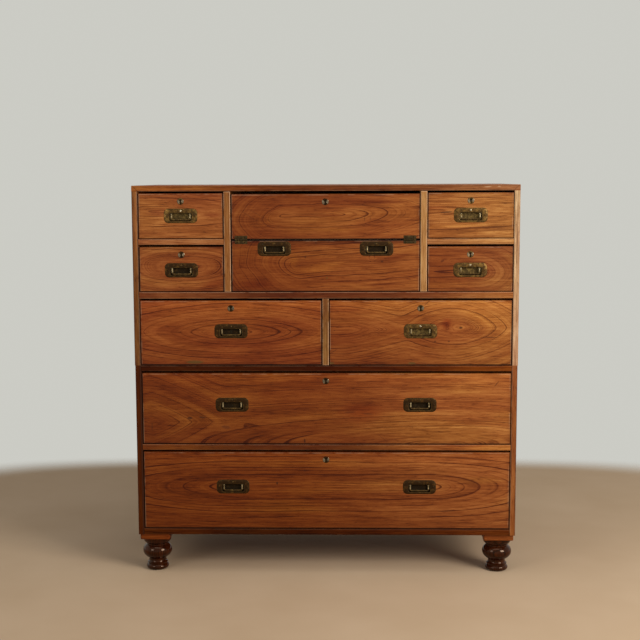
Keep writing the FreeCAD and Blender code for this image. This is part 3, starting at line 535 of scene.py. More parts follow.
class Shape:
    """Gathers closed forms, in millimetres about an origin, and makes one smooth object."""

    def __init__(self, origin=(0.0, 0.0, 0.0)):
        self.mesh = bmesh.new()
        self.origin = Vector(origin)

    def rings(self, rings, materials=OLD):
        """Closed skin through rings of points that all have the same count, capped at each end.

        materials is one number, a list with one for each band, or a function of band and step.
        """
        rows = [[self.mesh.verts.new(self.origin + Vector(p) * MM) for p in ring] for ring in rings]
        count = len(rows[0])
        for i in range(len(rows) - 1):
            for k in range(count):
                n = (k + 1) % count
                face = self.mesh.faces.new((rows[i][k], rows[i][n], rows[i + 1][n], rows[i + 1][k]))
                face.material_index = pick(materials, i, k)
        for row, i in ((rows[0], 0), (rows[-1], len(rows) - 2)):
            cap = self.mesh.faces.new(row)
            cap.material_index = pick(materials, i, 0)

    def spindle(self, stops, y, z, material):
        """A round bar along X, with a radius at each x."""
        self.rings([circle_x(radius, x, y, z) for x, radius in stops], material)

    def block(self, low, high, bevel, material=OLD):
        """A box with its edges taken off."""
        piece = bmesh.new()
        size = Vector(high) - Vector(low)
        middle = (Vector(high) + Vector(low)) / 2
        bmesh.ops.create_cube(piece, size=1.0)
        bmesh.ops.scale(piece, vec=size, verts=piece.verts)
        bmesh.ops.translate(piece, vec=middle, verts=piece.verts)
        bmesh.ops.bevel(piece, geom=piece.edges[:], offset=bevel, segments=2, affect="EDGES",
                        profile=0.5)
        self.take(piece, material)

    def take(self, piece, material):
        """Moves another mesh in, from millimetres."""
        places = {v: self.mesh.verts.new(self.origin + v.co * MM) for v in piece.verts}
        for face in piece.faces:
            copy = self.mesh.faces.new([places[v] for v in face.verts])
            copy.material_index = material
        piece.free()

    def make(self, name, body, materials=FITTING_MATERIALS, stands_for=(), sharp=38.0):
        bmesh.ops.recalc_face_normals(self.mesh, faces=self.mesh.faces[:])
        for face in self.mesh.faces:
            face.smooth = True
        data = bpy.data.meshes.new(name)
        self.mesh.to_mesh(data)
        self.mesh.free()
        data.set_sharp_from_angle(angle=math.radians(sharp))
        for material in materials:
            data.materials.append(material)
        piece = add_object(name, data)
        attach(piece, body)
        if stands_for:
            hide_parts(*stands_for)


def rounded_ring(width, height, radius, y, dz=0.0):
    """A rounded rectangle in the face's plane at depth y."""
    ring = []
    for quarter, (sx, sz) in enumerate(((1, 1), (-1, 1), (-1, -1), (1, -1))):
        cx = sx * (width / 2 - radius)
        cz = sz * (height / 2 - radius)
        for step in range(CORNER_STEPS + 1):
            turn = math.radians(90 * (quarter + step / CORNER_STEPS))
            ring.append((cx + radius * math.cos(turn), y, cz + radius * math.sin(turn) + dz))
    return ring


def circle_y(radius, y, x=0.0, z=0.0, count=32):
    return [(x + radius * math.cos(math.tau * k / count), y,
             z + radius * math.sin(math.tau * k / count)) for k in range(count)]


def circle_x(radius, x, y, z, count=20):
    return [(x, y + radius * math.cos(math.tau * k / count),
             z + radius * math.sin(math.tau * k / count)) for k in range(count)]


def add_screw(shape, x, z, y=0.0, turn=0.5, radius=SCREW_HEAD, material=PIN):
    """A domed screw head standing 0.5 mm proud, with its slot cut across."""
    dome = 0.55
    slot = 0.35
    for side in (-1, 1):
        rings = []
        for share, rise in ((1.0, -0.6), (1.0, 0.05), (0.9, 0.28), (0.62, 0.48), (0.3, dome)):
            rings.append(half_disc(x, z, y - rise, radius * share, slot, turn, side))
        shape.rings(rings, material)
    shape.rings([circle_y(radius * 0.98, y + 0.6, x, z), circle_y(radius * 0.98, y - 0.02, x, z)],
                material)


def half_disc(x, z, y, radius, gap, turn, side):
    """Outline of one side of a disc that is split by a slot of half-width gap."""
    points = []
    gap = min(gap, radius * 0.9)
    start = math.asin(gap / radius)
    steps = 12
    for k in range(steps + 1):
        angle = start + (math.pi - 2 * start) * k / steps
        u = radius * math.cos(angle)
        v = side * radius * math.sin(angle)
        points.append((x + u * math.cos(turn) - v * math.sin(turn), y,
                       z + u * math.sin(turn) + v * math.cos(turn)))
    return points


def add_handle_plate(shape):
    """Cast plate and pan, from the pan's back round the rim to the pan's dished floor."""
    width, height, corner = PLATE
    pan_width, pan_height, pan_corner = PAN
    out = 2 * PAN_WALL

    def plate(grow, y, round_off=0.0):
        return rounded_ring(width + grow, height + grow, corner + round_off, y)

    def pan(wider, higher, round_off, y):
        return rounded_ring(pan_width + wider, pan_height + higher, pan_corner + round_off, y,
                            PAN_DROP)

    rings = [
        rounded_ring(pan_width * 0.5, pan_height * 0.4, 3.0, PAN_DEPTH + PAN_WALL, PAN_DROP),
        pan(out - 3, out - 3, 0.0, PAN_DEPTH + PAN_WALL),
        pan(out, out, PAN_WALL, PAN_DEPTH - 1),
        pan(out, out, PAN_WALL, PLATE_THICK),
        plate(-0.2, PLATE_THICK), plate(0.0, 0.9), plate(-0.3, 0.3), plate(-1.3, 0.0, -0.6),
        pan(2.2, 2.2, 1.1, 0.0), pan(0.6, 0.6, 0.3, 0.25), pan(0.0, 0.0, 0.0, 0.9),
        pan(0.0, 0.0, 0.0, 6.3), pan(-1.6, -1.6, -0.4, 8.0), pan(-6.0, -5.6, -1.6, 9.0),
        pan(-20.0, -13.0, -2.4, PAN_DEPTH),
    ]
    shape.rings(rings, [PAN_DARK, OLD, OLD, OLD, OLD, GRIP, GRIP, OLD, GRIP, OLD, PAN_DARK,
                        PAN_FLOOR, PAN_FLOOR, PAN_FLOOR])
    add_screw(shape, -END_SCREW_X, 0.0, turn=0.4, material=OLD)
    add_screw(shape, END_SCREW_X, 0.0, turn=1.9, material=OLD)
    add_screw(shape, 0.0, TOP_SCREW_Z, turn=1.1, radius=2.3, material=SCREW)


def keyhole_ring(scale_out, y, count=40):
    """Outline of a keyhole: a round head over a slot, point by point with a circle."""
    head, half, top, bottom = 2.9, 1.6, 2.5, -7.5
    points = []
    foot = math.radians(-90) + math.asin(half / head)
    sweep = math.tau - 2 * math.asin(half / head)
    slot_steps = 6
    for k in range(count - 2 * slot_steps):
        angle = foot + sweep * k / (count - 2 * slot_steps - 1)
        points.append((head * math.cos(angle), top + head * math.sin(angle)))
    knee = points[-1][1]
    for k in range(1, slot_steps + 1):
        points.append((-half, knee + (bottom - knee) * k / slot_steps))
    for k in range(slot_steps):
        points.append((half, bottom + (knee - bottom) * k / slot_steps))
    return [(px * scale_out, y, pz) for px, pz in points]


def add_escutcheon(shape):
    """Round plate with a softly raised rim and a keyhole cut through to a black hollow."""
    outline = keyhole_ring(1.0, 0.0)
    angles = [math.atan2(pz, px) for px, _, pz in outline]

    def circle(radius, y):
        return [(radius * math.cos(t), y, radius * math.sin(t)) for t in angles]

    def band_metal(band, step):
        """Painted highlight to the left and right of the keyhole, where the rim would catch the
        side lamps; the darker old brass above and below, and dark inside.
        """
        if band in (0, 7, 8):
            return PAN_DARK
        return CRESCENT_HIGHLIGHT if abs(math.cos(angles[step])) > 0.78 else OLD

    shape.rings([keyhole_ring(1.0, 2.0), circle(ESCUTCHEON, 2.0), circle(ESCUTCHEON, 0.4),
                 circle(ESCUTCHEON - 0.25, 0.05), circle(ESCUTCHEON - 0.6, -0.12),
                 circle(ESCUTCHEON - 1.0, -0.20), circle(ESCUTCHEON - 1.25, -0.20),
                 keyhole_ring(1.12, 0.3), keyhole_ring(1.0, 0.6), keyhole_ring(1.0, 1.9)],
                band_metal)
    shape.rings([keyhole_ring(1.25, 3.4), keyhole_ring(1.25, 1.95)], BLACK)


def add_lock(shape, thickness):
    """Lock case, neck and selvedge let into the back of a front."""
    width, height, depth, rise = LOCK
    half = width / 2
    shape.block((-half, thickness - depth, rise - height), (half, thickness, rise), 0.4)
    neck = KEYHOLE_DROP - SELVEDGE
    shape.block((-half, thickness - SELVEDGE, rise), (half, thickness, neck), 0.3)
    shape.block((-half, thickness - depth, neck), (half, thickness, KEYHOLE_DROP), 0.3)
    for x in (LOCK_PIN_INSET - half, half - LOCK_PIN_INSET):
        for z in (rise - LOCK_PIN_INSET, rise - height + LOCK_PIN_INSET):
            shape.rings([circle_y(radius, thickness + proud, x, z, 16) for radius, proud in
                         ((2.0, -0.2), (2.0, 0.1), (1.4, 0.3))], PIN)


# ---- handles, locks and bails --------------------------------------
FACE_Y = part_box("top_left_drawer_front")[0].y


def handle_centre(bail_node):
    """Middle of the plate behind a bail."""
    low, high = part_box(bail_node)
    return Vector(((low.x + high.x) / 2, FACE_Y, low.z - BAIL_LOW * MM))


def bail_path():
    """Points down one arm, along the bar and up the other, with half-width and half-thickness."""
    pivot = BAIL_PIVOT[1]
    bar = BAIL_LOW + BAIL_BAR
    path = []
    for k in range(ARM_STEPS + 1):
        t = k / ARM_STEPS
        path.append((-BAIL_ARM_X, pivot + (bar + BAIL_BEND - pivot) * t,
                     2.15 - 0.35 * math.sin(math.pi * t), 1.9))
    for k in range(1, BEND_STEPS + 1):
        t = math.radians(180 + 90 * k / BEND_STEPS)
        path.append((-BAIL_ARM_X + BAIL_BEND + BAIL_BEND * math.cos(t),
                     bar + BAIL_BEND + BAIL_BEND * math.sin(t), 1.95, 1.85))
    side_points = len(path)
    for k in range(1, BAR_STEPS):
        t = k / BAR_STEPS
        swell = math.sin(math.pi * t)
        x = (BAIL_ARM_X - BAIL_BEND) * (2 * t - 1)
        path.append((x, bar, 1.7 + 0.45 * swell, 1.75 + 0.4 * swell))
    return path + [(-x, z, w, d) for x, z, w, d in reversed(path[:side_points])]


def make_bail(node):
    """Swinging grip: a bar swelling in the middle, hubs at the pivots and their trunnions."""
    shape = Shape(handle_centre(node))
    path = bail_path()
    rings = []
    for i, (x, z, width, depth) in enumerate(path):
        before = Vector(path[max(i - 1, 0)][:2])
        after = Vector(path[min(i + 1, len(path) - 1)][:2])
        along = (after - before).normalized()
        side = Vector((-along.y, along.x))
        ring = []
        for k in range(16):
            turn = math.tau * k / 16
            u = math.copysign(abs(math.cos(turn)) ** 0.7, math.cos(turn)) * width
            v = math.copysign(abs(math.sin(turn)) ** 0.7, math.sin(turn)) * depth
            ring.append((x + side.x * u, BAIL_PIVOT[0] + v, z + side.y * u))
        rings.append(ring)
    bands = len(rings) - 1
    shape.rings(rings, [WORN if min(k, bands - 1 - k) < ARM_STEPS else GRIP for k in range(bands)])
    for side in (-1, 1):
        inner = side * (BAIL_ARM_X - 2.2)
        outer = side * (BAIL_ARM_X + 2.2)
        y, z = BAIL_PIVOT
        shape.spindle(((inner, 1.6), (inner + side * 0.4, 2.15), (outer - side * 0.4, 2.15),
                       (outer, 1.6)), y, z, WORN)
        shape.spindle(((outer - side * 0.3, TRUNNION), (side * BAIL_REACH, TRUNNION)), y, z,
                      PAN_DARK)
    shape.make(node + "_cast", node, stands_for=(node,), sharp=50.0)


ORDINARY_DRAWERS = [name[:-len("_front")] for name in sorted(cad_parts)
                    if name.endswith("_drawer_front") and not name.startswith("secretaire")]
BAILS = [name for name in sorted(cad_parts) if "_bail" in name]
FAIR_DRAWERS = ("top_left_drawer", "top_right_drawer", "middle_right_drawer", "half_right_drawer")


def make_drawer_brass(drawer):
    """Plates, escutcheon and lock of one ordinary drawer."""
    low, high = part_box(drawer + "_front")
    lock_place = Vector(((low.x + high.x) / 2, FACE_Y, high.z - KEYHOLE_DROP * MM))
    shape = Shape(lock_place)
    add_escutcheon(shape)
    add_lock(shape, FRONT_THICK)
    for bail in BAILS:
        if bail.startswith(drawer + "_bail"):
            shape.origin = handle_centre(bail)
            add_handle_plate(shape)
    looks = FAIR_MATERIALS if drawer in FAIR_DRAWERS else FITTING_MATERIALS
    shape.make(drawer + "_fittings", drawer, looks, (drawer + "_brass",))


# ---- secretaire brass ----------------------------------------------
HINGE_Z = (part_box("fall_panel")[0].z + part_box("secretaire_drawer_front")[1].z) / 2
SECRETAIRE_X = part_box("secretaire_drawer_front")[1].x
HINGE_CENTRES = [side * (SECRETAIRE_X - (HINGE_MARGIN + HINGE[0] / 2) * MM) for side in (-1, 1)]


def add_hinge_leaf(shape, direction, own):
    """Leaf on the face, above (+1) or below (-1) the pin, with its own knuckles and screws."""
    width, reach, thick = HINGE
    rise, head = HINGE_SCREW
    z0, z1 = sorted((direction * (KNUCKLE + 0.3), direction * reach))
    shape.block((-width / 2, 0.0, z0), (width / 2, thick, z1), 0.25, HINGED)
    pitch = width / KNUCKLES
    for index in own:
        x0 = -width / 2 + index * pitch + 0.15
        x1 = x0 + pitch - 0.3
        shape.spindle(((x0, 1.9), (x0 + 0.3, KNUCKLE), (x1 - 0.3, KNUCKLE), (x1, 1.9)),
                      HINGE_PIN_DEPTH, 0.0, HINGED)
        root0, root1 = sorted((direction * 0.8, direction * (KNUCKLE + 1.0)))
        shape.block((x0, 0.4, root0), (x1, thick, root1), 0.15, HINGED)
    for x, turn in ((-width * 0.3, 0.6), (width * 0.3, 2.0)):
        add_screw(shape, x, direction * rise, turn=turn, radius=head, material=OLD)


def make_secretaire_brass():
    """Handle plates, lower hinge leaves and hinge pins, all on the drawer."""
    shape = Shape()
    for x in HINGE_CENTRES:
        shape.origin = Vector((x, FACE_Y, HINGE_Z))
        add_hinge_leaf(shape, -1, (0, 2, 4))
        half = HINGE[0] / 2
        shape.spindle(((-half, HINGE_PIN), (half, HINGE_PIN)), HINGE_PIN_DEPTH, 0.0, HINGED)
    for bail in BAILS:
        if bail.startswith("secretaire"):
            shape.origin = handle_centre(bail)
            add_handle_plate(shape)
    shape.make("secretaire_fittings", "secretaire_drawer",
               stands_for=("secretaire_drawer_brass",))


def add_stay(shape, x0, x1):
    """Quadrant stay about the hinge pin, from its foot on the fall to its tail."""
    radius, width, _, tail = STAY
    seat = FALL_THICK - HINGE_PIN_DEPTH
    top = math.degrees(math.acos(seat / radius))
    rings = []
    steps = 28
    for k in range(steps + 1):
        turn = math.radians(-tail + (top + tail) * k / steps)
        ring = []
        for r, x in ((-1, x0 + 0.3), (-1, x1 - 0.3), (-0.9, x1), (0.9, x1), (1, x1 - 0.3),
                     (1, x0 + 0.3), (0.9, x0), (-0.9, x0)):
            reach = radius + r * width / 2
            ring.append((x, HINGE_PIN_DEPTH + reach * math.cos(turn), reach * math.sin(turn)))
        rings.append(ring)
    shape.rings(rings, OLD)
    rise = radius * math.sin(math.radians(top))
    shape.block((x0, FALL_THICK, rise - STAY_FOOT), (x1, FALL_THICK + 2.0, rise + STAY_FOOT), 0.3)


def make_fall_brass():
    """Escutcheon, lock, upper hinge leaves and stays, all on the fall."""
    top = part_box("fall_panel")[1].z
    shape = Shape((0.0, FACE_Y, top - KEYHOLE_DROP * MM))
    add_escutcheon(shape)
    add_lock(shape, FALL_THICK)
    for x in HINGE_CENTRES:
        shape.origin = Vector((x, FACE_Y, HINGE_Z))
        add_hinge_leaf(shape, 1, (1, 3))
    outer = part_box("fall_leather")[1].x / MM + STAY_MARGIN
    shape.origin = Vector((0.0, FACE_Y, HINGE_Z))
    for side in (-1, 1):
        x0, x1 = sorted((side * outer, side * (outer + STAY[2])))
        add_stay(shape, x0, x1)
    shape.make("fall_fittings", "fall_front", stands_for=("fall_brass",))


# ---- turned feet ---------------------------------------------------
def arc(start, middle, end, steps=9):
    """Points on the circle through three profile points, given as (radius, height)."""
    (x1, y1), (x2, y2), (x3, y3) = start, middle, end
    scale = 2 * (x1 * (y2 - y3) + x2 * (y3 - y1) + x3 * (y1 - y2))
    s1, s2, s3 = x1 * x1 + y1 * y1, x2 * x2 + y2 * y2, x3 * x3 + y3 * y3
    cx = (s1 * (y2 - y3) + s2 * (y3 - y1) + s3 * (y1 - y2)) / scale
    cy = (s1 * (x3 - x2) + s2 * (x1 - x3) + s3 * (x2 - x1)) / scale
    radius = math.hypot(x1 - cx, y1 - cy)
    first = math.atan2(y1 - cy, x1 - cx)
    half = math.atan2(y2 - cy, x2 - cx)
    last = math.atan2(y3 - cy, x3 - cx)
    sweep = (last - first) % math.tau
    if (half - first) % math.tau > sweep:
        sweep -= math.tau
    return [(cx + radius * math.cos(first + sweep * k / steps),
             cy + radius * math.sin(first + sweep * k / steps)) for k in range(steps + 1)]


def foot_profile():
    """Sole, bead, neck, bulb, collar, cap and spigot, as (radius, height)."""
    return ([(22.8, 0.0), (24.0, 0.4)] + arc((24.4, 0.9), (30.9, 8.0), (26.6, 15.4))
            + [(26.5, 16.0), (26.9, 16.9), (28.1, 19.6)]
            + arc((28.1, 20.3), (23.5, 28.0), (30.2, 35.8))
            + arc((30.6, 36.4), (40.4, 53.5), (30.6, 70.6))
            + [(29.7, 71.2), (29.5, 72.0), (29.5, 74.0)]
            + arc((29.7, 74.4), (35.1, 78.0), (38.2, 83.6), 6)
            + [(38.5, 84.8), (38.5, 92.2), (38.1, 92.6), (13.0, 92.6), (13.0, 106.6)])


def make_feet():
    """Four feet, each under the middle of its block."""
    low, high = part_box("foot_blocks")
    half = FOOT_BLOCK_HALF * MM
    turns = [math.tau * k / FOOT_SIDES for k in range(FOOT_SIDES)]
    shape = Shape()
    for x in (low.x + half, high.x - half):
        for y in (low.y + half, high.y - half):
            shape.origin = Vector((x, y, 0.0))
            shape.rings([[(r * math.cos(turn), r * math.sin(turn), z) for turn in turns]
                         for r, z in foot_profile()], 0)
    shape.make("turned_feet_polished", "lower_case", (FOOT_WOOD,), ("turned_feet",))


# ---- stage and light -----------------------------------------------
def make_floor():
    """Pale floor that fades into the background at its rim."""
    g = Graph("floor_paint")
    x, y, _ = g.split(g.place)
    x = g.times(x, 0.7)
    rim = g.total(g.times(g.times(x, x), g.times(x, x)), g.times(g.times(y, y), g.times(y, y)))
    distance = g.math("POWER", rim, 0.25)
    speck = g.speckle(3.0, 3.0)
    colour = g.ramp(speck, [(0.3, (0.43, 0.308, 0.195)), (0.7, (0.47, 0.343, 0.225))])
    g.finish(colour, 0.75)
    g.fill_named(g.shader, Specular_IOR_Level=0.15)
    clear = g.new("ShaderNodeBsdfTransparent").outputs[0]
    blend = g.fill(g.new("ShaderNodeMixShader"), g.smooth(distance, 0.99, 1.20),
                   g.shader.outputs[0], clear)
    g.put(g.output.inputs[0], blend)
    disc = bmesh.new()
    bmesh.ops.create_circle(disc, cap_ends=True, segments=96, radius=FLOOR_RADIUS)
    data = bpy.data.meshes.new("floor")
    disc.to_mesh(data)
    disc.free()
    data.materials.append(g.material)
    add_object("floor", data)


def area_light(name, place, aim, width, height, power, colour):
    data = bpy.data.lights.new(name, "AREA")
    data.shape = "RECTANGLE"
    data.size = width
    data.size_y = height
    data.energy = power
    data.color = colour
    lamp = add_object(name, data)
    lamp.location = place
    lamp.rotation_euler = (Vector(aim) - Vector(place)).to_track_quat("-Z", "Y").to_euler()


def make_light():
    """Two windows, a ceiling, and a grey backdrop that is brighter to look at than to be lit by."""
    area_light("window_right", (2.4, -2.3, 1.7), (0.1, 0.0, 0.6), 1.5, 1.5, 118.0,
               (1.0, 0.97, 0.92))
    area_light("window_left", (-2.4, -2.7, 1.8), (-0.1, 0.0, 0.7), 1.2, 1.4, 26.0,
               (0.96, 0.97, 1.0))
    area_light("ceiling", (0.0, -0.9, 3.1), (0.0, 0.0, 0.6), 2.4, 2.0, 26.0, (1.0, 0.98, 0.95))
    world = bpy.data.worlds.new("room")
    room = Nodes(world)
    seen = room.fill(room.new("ShaderNodeBackground"), (0.60, 0.60, 0.555, 1.0))
    soft = room.fill(room.new("ShaderNodeBackground"), (1.0, 0.98, 0.95, 1.0), 0.28)
    ray = room.new("ShaderNodeLightPath").outputs
    mirrored = room.math("MAXIMUM", ray["Is Camera Ray"], ray["Is Glossy Ray"])
    shown = room.math("MAXIMUM", mirrored, ray["Is Transmission Ray"])
    light = room.fill(room.new("ShaderNodeMixShader"), shown, soft, seen)
    room.put(room.new("ShaderNodeOutputWorld").inputs[0], light)
    bpy.context.scene.world = world


# ---- which wood goes where -----------------------------------------
def paint(node, material):
    """Gives a CAD node one material."""
    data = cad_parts[node].data
    data.materials.clear()
    data.materials.append(material)


# Fronts: tints are for the left and right ends, where a brighter right end is partly painted light
# from the lamp at the right and partly the wood's own tone; rim is the strength of the painted
# shade along the outline; figures are as for ring_distance; eyes are (x, z, length, width, rise);
# zones are (x, z, length, width, angle, factor); marks are (x, z, length, width, angle, strength),
# with a colour at the end where it isn't the dark colour of splits and painted shade lines.
FRONTS = {
    "top_left_drawer_front": dict(
        tints=((1.37, 1.60, 2.2), (1.25, 1.35, 1.9)), figures=[(-0.43, -0.43, 0.992, 0.10, 0.16)],
        seed=1.3, gold=0.55,
        zones=[(-0.449, 0.993, 0.045, 0.016, 0, (0.80, 0.68, 0.75)),
               (-0.300, 0.986, 0.040, 0.010, 0, (0.72, 0.55, 0.55))]),
    "middle_left_drawer_front": dict(
        tints=((1.25, 1.45, 1.9), (1.14, 1.24, 1.5)), rim=(0.95, 0.80, 0.25, 0.75),
        figures=[(-0.41, -0.355, 0.848, 0.42, 0.40)], seed=2.1, gold=0.45, ring=0.0080, warp=0.015,
        contrast=1.4, zones=[(-0.302, 0.80, 0.06, 0.02, 20, (0.82, 0.66, 0.6))]),
    "top_right_drawer_front": dict(
        tints=((1.15, 1.25, 1.6), (1.40, 1.85, 2.6)), rim=(0.7, 0.1, 0.25, 0.5),
        figures=[(0.20, 0.20, 0.985, 0.0, 0.07)], seed=3.7, gold=0.75, ring=0.011, tilt=0.03,
        contrast=1.8,
        zones=[(0.29, 1.004, 0.06, 0.007, 2, (0.82, 0.66, 0.62)),
               (0.34, 0.955, 0.13, 0.006, 2, (1.25, 1.35, 1.3))],
        marks=[(0.322, 0.992, 0.022, 0.0030, 4, 0.75)]),
    "middle_right_drawer_front": dict(
        tints=((0.98, 1.0, 1.05), (1.1, 1.3, 1.7)), rim=(0.7, 0.6, 0.25, 0.5),
        figures=[(0.37, 0.40, 0.832, 0.05, 0.60)], seed=5.4, gold=0.30, ring=0.0095, warp=0.007,
        contrast=1.2, eyes=[(0.315, 0.862, 0.020, 0.012, 0.012)],
        marks=[(0.313, 0.862, 0.007, 0.004, 30, 0.7, (0.07, 0.014, 0.004))]),
    "half_left_drawer_front": dict(
        tints=((1.07, 0.95, 1.1), (1.01, 0.90, 1.0)), rim=(0.7, 0.9, 0.25, 1.0),
        figures=[(-0.27, -0.22, 0.672, 0.24, 0.225, 1.6)], seed=5.2, gold=0.32, ring=0.0075,
        warp=0.007, contrast=1.15,
        marks=[(-0.355, 0.5885, 0.030, 0.006, 0, 0.7, FILLER),
               (-0.127, 0.672, 0.003, 0.002, 0, 0.7)]),
    "half_right_drawer_front": dict(
        tints=((0.98, 0.93, 1.0), (1.38, 1.65, 2.0)), rim=(0.7, 0.85, 0.25, 0.85),
        figures=[(-0.05, 0.05, 0.676, 0.0, 0.28, 1.3), (0.33, 0.35, 0.684, 0.40, 0.50, 1.5)],
        seed=6.4, gold=0.55, ring=0.0075, warp=0.007, contrast=1.3,
        eyes=[(0.322, 0.684, 0.026, 0.016, 0.012)],
        zones=[(0.325, 0.695, 0.024, 0.020, 60, (0.80, 0.55, 0.48)),
               (0.42, 0.71, 0.10, 0.03, -20, (1.18, 1.25, 1.2))],
        marks=[(0.364, 0.682, 0.006, 0.004, 0, 0.75), (0.295, 0.645, 0.004, 0.003, 0, 0.6),
               (0.332, 0.645, 0.004, 0.003, 0, 0.6), (0.024, 0.675, 0.003, 0.002, 0, 0.6),
               (0.022, 0.618, 0.013, 0.0012, 30, 0.7), (0.274, 0.750, 0.013, 0.0012, 42, 0.7),
               (0.440, 0.656, 0.030, 0.0016, 0, 0.6),
               (0.014, 0.5855, 0.012, 0.0035, 0, 0.7, FILLER),
               (0.233, 0.5855, 0.014, 0.0035, 0, 0.7, FILLER)]),
    "long_upper_drawer_front": dict(
        tints=((0.81, 0.72, 0.6), (1.47, 1.85, 2.4)), rim=(0.95, 0.15, 0.25, 0.85),
        figures=[(-0.475, -0.475, 0.424, 0.30, 0.50, 1.15), (0.34, 0.34, 0.362, 0.12, 0.20)],
        seed=7.7, gold=0.34, ring=0.0072, warp=0.005, contrast=1.3,
        eyes=[(-0.224, 0.424, 0.060, 0.018, -0.008)],
        zones=[(0.10, 0.450, 0.09, 0.035, 0, (0.88, 0.64, 0.55)),
               (0.40, 0.525, 0.13, 0.030, 4, (1.15, 1.28, 1.2))],
        marks=[(-0.371, 0.434, 0.009, 0.005, 0, 0.7), (-0.337, 0.436, 0.012, 0.004, -10, 0.65),
               (-0.273, 0.409, 0.016, 0.006, -8, 0.55, (0.08, 0.02, 0.006)),
               (-0.058, 0.371, 0.003, 0.008, 0, 0.8), (0.066, 0.451, 0.020, 0.004, 4, 0.35),
               (0.115, 0.446, 0.018, 0.004, -6, 0.35), (0.462, 0.529, 0.012, 0.0012, 50, 0.8),
               (0.155, 0.379, 0.020, 0.0010, -38, 0.4), (-0.475, 0.41, 0.0018, 0.016, 0, 0.5)]),
    "long_lower_drawer_front": dict(
        tints=((0.77, 0.70, 0.5), (1.31, 1.65, 2.2)), rim=(1.0, 0.5, 0.25, 1.0),
        figures=[(-0.264, 0.27, 0.243, 0.19, 0.22)], seed=8.5, gold=0.24, ring=0.0080, warp=0.008,
        contrast=1.6, zones=[(0.42, 0.262, 0.09, 0.016, 0, (1.15, 1.35, 1.25))],
        marks=[(-0.134, 0.253, 0.0035, 0.005, 0, 0.8), (-0.058, 0.289, 0.0018, 0.006, 0, 0.5),
               (0.33, 0.176, 0.030, 0.0022, 2, 0.5), (-0.44, 0.207, 0.05, 0.0016, -14, 0.4)]),
    "secretaire_drawer_front": dict(
        tints=((0.85, 0.78, 0.7), (1.2, 1.38, 1.55)), rim=(1.0, 0.55, 1.0, 0.85),
        figures=[(-0.070, 0.5, 0.856, 0.70, 0.0)], seed=9.6, gold=0.34, ring=0.0066, warp=0.018,
        tilt=0.08, contrast=1.5, eyes=[(0.152, 0.861, 0.016, 0.008, 0.010)],
        zones=[(-0.085, 0.858, 0.018, 0.030, 0, (1.2, 1.35, 1.2)),
               # A dark band along the top: painted shade under the fall's lower edge, with some
               # dirt.
               (0.0, 0.916, 3.0, 0.012, 0, (0.50, 0.40, 0.38)),
               (-0.185, 0.800, 0.085, 0.024, 0, (0.76, 0.58, 0.52)),
               (-0.02, 0.842, 0.110, 0.022, 10, (1.22, 1.38, 1.25)),
               (0.200, 0.875, 0.065, 0.012, 15, (0.72, 0.58, 0.52)),
               (0.15, 0.800, 0.10, 0.007, 3, (0.72, 0.60, 0.55))],
        marks=[(-0.054, 0.873, 0.0022, 0.005, 0, 0.6), (-0.025, 0.911, 0.0018, 0.004, 0, 0.6),
               (0.152, 0.861, 0.005, 0.003, 0, 0.7), (0.004, 0.817, 0.004, 0.003, 0, 0.5, FILLER)]),
    "fall_panel": dict(
        tints=((0.88, 0.82, 0.86), (1.2, 1.35, 1.55)), rim=(1.0, 0.6, 0.25, 1.0),
        figures=[(-0.095, 0.03, 0.984, 0.70, 0.24)], seed=14.1, gold=0.38, ring=0.0066, warp=0.018,
        contrast=1.3,
        zones=[(0.0, 0.946, 0.20, 0.005, 0, (1.25, 1.4, 1.25)),
               (0.01, 0.984, 0.14, 0.005, 0, (0.74, 0.60, 0.56)),
               (0.06, 1.021, 0.17, 0.012, 0, (0.78, 0.66, 0.64)),
               (-0.17, 0.972, 0.045, 0.030, 20, (1.18, 1.32, 1.22)),
               (0.16, 1.02, 0.10, 0.006, 0, (0.74, 0.62, 0.6))],
        marks=[(-0.205, 0.984, 0.030, 0.0016, -33, 0.30), (-0.185, 0.990, 0.026, 0.0014, -30, 0.28),
               (-0.160, 0.976, 0.024, 0.0012, -28, 0.25), (0.105, 0.974, 0.0016, 0.007, 0, 0.5),
               (0.120, 0.975, 0.0014, 0.006, 0, 0.45)]),
}

# Painted light and shade on the half-width and long fronts: brighter along their tops, partly
# painted light from above and partly wear, and painted shade darker towards the floor.
LIT_AND_WORN_TOP = (1.28, 1.32, 1.32)
SHADED_FOOT = (0.86, 0.84, 0.82)


def paint_front(node, tints, zones=(), **look):
    """One front, with the outline, depth and ends of its figure taken from its solid."""
    low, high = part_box(node)
    top_light_foot_shade = []
    # Painted light along the top and painted shade towards the foot.
    if node.startswith(("half", "long")):
        top_light_foot_shade = [(0, high.z, 3.0, 0.045, 0, LIT_AND_WORN_TOP), (0, low.z, 3.0, 0.12, 0, SHADED_FOOT)]
    start = low.x + 0.4 * (high.x - low.x) if node.startswith("long") else low.x
    paint(node, wood(node + "_wood", ACROSS_FRONT, edges=(low, high), plane=FACE_Y, tint=tints[0],
                     far_tint=tints[1], tint_span=(0, start, high.x), zones=[*zones, *top_light_foot_shade], **look))


